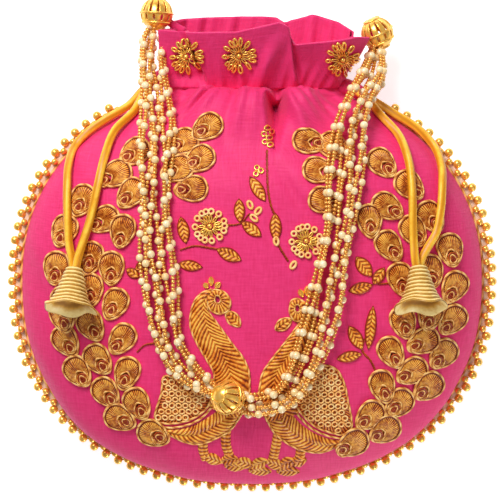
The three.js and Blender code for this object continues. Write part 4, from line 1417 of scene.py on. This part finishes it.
def bird(shapes, ground, plan, sequin):
    """One peacock: herringbone neck and body, a curled head, a wing of sequins, crest, beak and legs."""
    shapes.kind = 0
    for line in plan["legs"]:
        path = smooth_line(line, 10)
        chevron_fill(shapes, ground, path - (LEG_HALF_WIDTH, 0), path + (LEG_HALF_WIDTH, 0), LEG_PAD,
                     rows=12, slant=0.2)
    chevron_fill(shapes, ground, plan["body_in"], plan["body_out"], BODY_PAD, rows=40)
    chevron_fill(shapes, ground, plan["neck_out"], plan["neck_in"], NECK_PAD, rows=60, lift=0.2)
    head = ring_line(plan["head"], 30)
    radial_fill(shapes, ground, head, plan["head_eye"], 0.25, HEAD_PAD, lift=0.5)
    leaf(shapes, ground, *plan["beak"], BEAK_WIDTH, BEAK_PAD)
    shapes.kind = 4
    for tip_x, tip_y, root_x, root_y in plan["crest"]:
        leaf(shapes, ground, (root_x, root_y), (tip_x, tip_y), CREST_WIDTH, CREST_PAD)
    shapes.kind = 2
    wing = ring_line(plan["wing"], 64)
    middle = wing.mean(axis=0)
    radial_fill(shapes, ground, wing, middle, 0.02, WING_PAD)
    shapes.kind = 1
    for line in (plan["neck_out"], plan["neck_in"], plan["body_out"], plan["wing_edge"]):
        couch(shapes, ground, smooth_line(line, 60), CORD_RADIUS, lift=0.3)
    couch(shapes, ground, wing, CORD_RADIUS, closed=True, lift=0.25)
    couch(shapes, ground, head, CORD_RADIUS, closed=True, lift=0.5)
    beak = np.array(plan["beak"])
    side = beside(beak[1] - beak[0]) * 0.3
    half = (beak[0] + beak[1]) / 2
    outline = ring_line([beak[0], half + side, beak[1], half - side], 26)
    couch(shapes, ground, outline, CORD_RADIUS * 0.9, closed=True)
    loop = turns(16)
    eye = np.array(plan["head_eye"]) + np.stack([np.cos(loop) * 3.2, np.sin(loop) * 4.2], -1)
    couch(shapes, ground, eye, CORD_RADIUS * 0.8, closed=True, lift=1.2)
    shapes.kind = 3
    low, high = wing.min(axis=0), wing.max(axis=0)
    rows = np.arange(low[1], high[1], SEQUIN_PITCH * 0.87)
    spots = np.array([(x + (k % 2) * SEQUIN_PITCH / 2, y) for k, y in enumerate(rows)
                      for x in np.arange(low[0], high[0], SEQUIN_PITCH)])
    inner = middle + (wing - middle) * 0.9
    spots = spots[inside(inner, spots)]
    points, normals = ground.at(spots, 0.75)
    for k, (point, normal) in enumerate(zip(points, normals)):
        lean = normal + 0.16 * np.array([math.sin(k * 2.4), math.cos(k * 1.7), 0.0])
        shapes.stamp(sequin, point, axes_along(lean, SEQUIN_SIZE, up=(0.0, 1.0, 0.0)))


class POTLI_OT_peacocks(bpy.types.Operator):
    """Two facing peacocks and the leafy perch below them"""

    bl_idname = "potli.peacocks"
    bl_label = "Peacock embroidery"

    def execute(self, context):
        ground, sequin = Ground(), sequin_shape()
        for name, plan in (("left_peacock", LEFT_BIRD), ("right_peacock", RIGHT_BIRD)):
            shapes = Shapes()
            bird(shapes, ground, plan, sequin)
            piece = finish_mesh(name, shapes)
            place(piece, "zari_stitch couched_cord copper_zari gold_sequin polished_gilt", BAG, "gilt")
        shapes = Shapes()
        for root, tip, width in PERCH:
            leaf(shapes, ground, root, tip, width, LEAF_PAD)
        place(finish_mesh("perch", shapes), "zari_stitch", BAG, "gilt")
        return {"FINISHED"}


# Flowers as (x, y, radius)
FLOWERS = [(187, 56, 16), (239, 55, 16.5), (342, 59, 16), (210, 226, 17.5), (306, 241, 17)]
PETALS = 14
PETAL_WIRE_RADIUS, UNDER_THREAD_RADIUS, HEART_BEAD_DIAMETER = 0.36, 0.45, 2.6
FRILL_FLOWERS_ABOVE = 100  # photo row; flowers above it are on the frill

# Sprigs: leaves as (root, tip, width) and stems as lines
LEAVES = [
    ((265, 201), (250, 177), 11), ((240, 222), (239, 199), 10), ((242, 222), (261, 236), 11),
    ((217, 249), (241, 260), 12), ((202, 267), (178, 264), 10), ((186, 243), (181, 217), 11),
    ((368, 349), (373, 306), 10), ((362, 349), (349, 326), 12), ((361, 354), (337, 359), 10),
    ((371, 276), (356, 257), 13), ((372, 285), (349, 291), 11), ((373, 284), (384, 268), 10),
    ((150, 262), (136, 269), 10), ((127, 269), (139, 277), 9), ((276, 241), (275, 213), 11)]
STEMS = [
    [(267, 150), (267, 170), (268, 190), (271, 206), (275, 216)],
    [(180, 250), (195, 246), (210, 248), (217, 249)], [(226, 225), (234, 225), (241, 223), (249, 214)],
    [(373, 306), (368, 330), (362, 350), (370, 360), (376, 372)], [(373, 283), (381, 284), (389, 283)],
    [(137, 352), (145, 345), (155, 343)], [(127, 269), (139, 269), (150, 262)],
    [(276, 240), (281, 250), (288, 261)]]
LOOPS = [
    (267, 128), (271, 132), (264, 134), (269, 138), (265, 142), (270, 145), (257, 168), (261, 171),
    (256, 174)]
LOOP_RADIUS, LOOP_WIRE_RADIUS = 2.4, 0.42
DROP_HALF_LENGTH, DROP_HALF_WIDTH, DROP_EDGE_RADIUS = 4.0, 2.2, 0.6
PETAL_SEQUINS = [(250, 205, 0.4), (258, 211, -0.7), (254, 218, 0.9), (276, 241, 0.1), (293, 265, -0.6)]


def flower(shapes, ground, bead, x, y, radius):
    """One flower: bent wire petals with end rings, copper thread between them and a bead in the middle."""
    middle = np.array([x, y], float)
    on_frill, loop = y < FRILL_FLOWERS_ABOVE, turns(12)
    for k in range(PETALS):
        turn = 2 * math.pi * (k + 0.3 * math.sin(k * 5)) / PETALS
        ray = np.array([math.cos(turn), math.sin(turn)])
        side = beside(ray)
        # A narrow petal of wire with a small ring at its end
        shapes.kind = 0
        line = middle + ray * np.linspace(0.2, 0.7, 6)[:, None] * radius
        bow = side * (1.1 * np.sin(np.linspace(0, np.pi, 6)))[:, None]
        couch(shapes, ground, line + bow, PETAL_WIRE_RADIUS, lift=0.5, sides=5)
        couch(shapes, ground, line - bow, PETAL_WIRE_RADIUS, lift=0.5, sides=5)
        # On the frill the petals end in narrow uneven loops, and on the belly in pale rings
        along, across = (3.4 + 0.8 * math.sin(k * 7), 1.5) if on_frill else (2.5, 2.5)
        end = along * np.cos(loop)[:, None] * ray + across * np.sin(loop)[:, None] * side
        ring = middle + ray * radius * 0.84 + end
        shapes.kind = 0 if on_frill else 2
        couch(shapes, ground, ring, CORD_RADIUS, closed=True, lift=0.7)
        shapes.kind = 1
        under = middle + side * 1.6 + ray * np.linspace(0.3, 0.72, 4)[:, None] * radius
        couch(shapes, ground, under, UNDER_THREAD_RADIUS, lift=0.1, sides=5)
    shapes.kind = 0
    shapes.stamp(bead, ground.at(middle, 1.0)[0], np.eye(3) * HEART_BEAD_DIAMETER)


def edged_leaf(shapes, ground, root, tip, width):
    """A stitched leaf with a copper cord round it."""
    shapes.kind = 0
    leaf(shapes, ground, root, tip, width, LEAF_PAD)
    shapes.kind = 1
    root, tip = np.array(root, float), np.array(tip, float)
    side = beside(tip - root) / np.linalg.norm(tip - root) * width / 2
    edge = np.linspace(0, np.pi, 9)
    line = root + (tip - root) * (edge / np.pi)[:, None] + side * (np.sin(edge) ** 0.8)[:, None]
    mirrored = line - 2 * side * (np.sin(edge) ** 0.8)[:, None]
    outline = np.vstack([line, mirrored[-2:0:-1]])
    couch(shapes, ground, outline, CORD_RADIUS * 0.8, closed=True, lift=0.2)


class POTLI_OT_sprigs(bpy.types.Operator):
    """Beaded flowers, leaves, stems and drop sequins between the larger motifs"""

    bl_idname = "potli.sprigs"
    bl_label = "Flowers and sprigs"

    def execute(self, context):
        ground = Ground()
        bead = bead_shape(8, 6, 1.0, 0.08)
        flowers = Shapes()
        for x, y, radius in FLOWERS:
            flower(flowers, ground, bead, x, y, radius)
        place(finish_mesh("bead_flowers", flowers), "polished_gilt copper_zari gold_sequin", BAG, "gilt")
        sprigs = Shapes()
        for root, tip, width in LEAVES:
            edged_leaf(sprigs, ground, root, tip, width)
        sprigs.kind = 1
        for line in STEMS:
            path = smooth_line(line, 30)
            wiggle = 0.6 * np.sin(np.arange(30) * 1.9)
            couch(sprigs, ground, path + np.stack([wiggle, -wiggle], -1), CORD_RADIUS * 0.7)
            couch(sprigs, ground, path - np.stack([wiggle, -wiggle], -1), CORD_RADIUS * 0.7, lift=0.15)
        sprigs.kind = 2
        turn = turns(14)
        circle = np.stack([np.cos(turn), np.sin(turn)], -1)
        for x, y in LOOPS:
            ring = np.array([x, y]) + LOOP_RADIUS * circle
            couch(sprigs, ground, ring, LOOP_WIRE_RADIUS, closed=True, lift=0.2)
        sprigs.kind = 3
        for x, y, lean in PETAL_SEQUINS:
            along = np.array([math.sin(lean), math.cos(lean)])
            across = -beside(along)
            drop = DROP_HALF_LENGTH * circle[:, :1] * along + DROP_HALF_WIDTH * circle[:, 1:] * across
            couch(sprigs, ground, np.array([x, y]) + drop, DROP_EDGE_RADIUS, closed=True, lift=0.3)
        piece = finish_mesh("sprigs", sprigs)
        place(piece, "zari_stitch copper_zari polished_gilt gold_sequin", BAG, "gilt")
        return {"FINISHED"}


class POTLI_PT_panel(bpy.types.Panel):
    """Lists the pieces of the bag"""

    bl_idname = "POTLI_PT_panel"
    bl_label = "Potli Bag"
    bl_space_type = "VIEW_3D"
    bl_region_type = "UI"
    bl_category = "Potli"

    def draw(self, context):
        column = self.layout.column()
        for key in PotliSizes.__annotations__:
            column.prop(context.scene.potli_sizes, key)
        for key in PotliColours.__annotations__:
            column.prop(context.scene.potli_colours, key)
        for operator in OPERATORS:
            column.operator(operator.bl_idname)


OPERATORS = (
    POTLI_OT_stage, POTLI_OT_drawstrings, POTLI_OT_cloth, POTLI_OT_trim, POTLI_OT_strands, POTLI_OT_balls,
    POTLI_OT_tabs, POTLI_OT_feathers, POTLI_OT_peacocks, POTLI_OT_sprigs)
CLASSES = (PotliSizes, PotliColours) + OPERATORS + (POTLI_PT_panel,)


def register():
    for one in CLASSES:
        bpy.utils.register_class(one)
    bpy.types.Scene.potli_sizes = bpy.props.PointerProperty(type=PotliSizes)
    bpy.types.Scene.potli_colours = bpy.props.PointerProperty(type=PotliColours)


def unregister():
    del bpy.types.Scene.potli_colours
    del bpy.types.Scene.potli_sizes
    for one in reversed(CLASSES):
        bpy.utils.unregister_class(one)


def main():
    register()
    for operator in OPERATORS:
        group, name = operator.bl_idname.split(".")
        getattr(getattr(bpy.ops, group), name)()


if __name__ == "__main__":
    main()
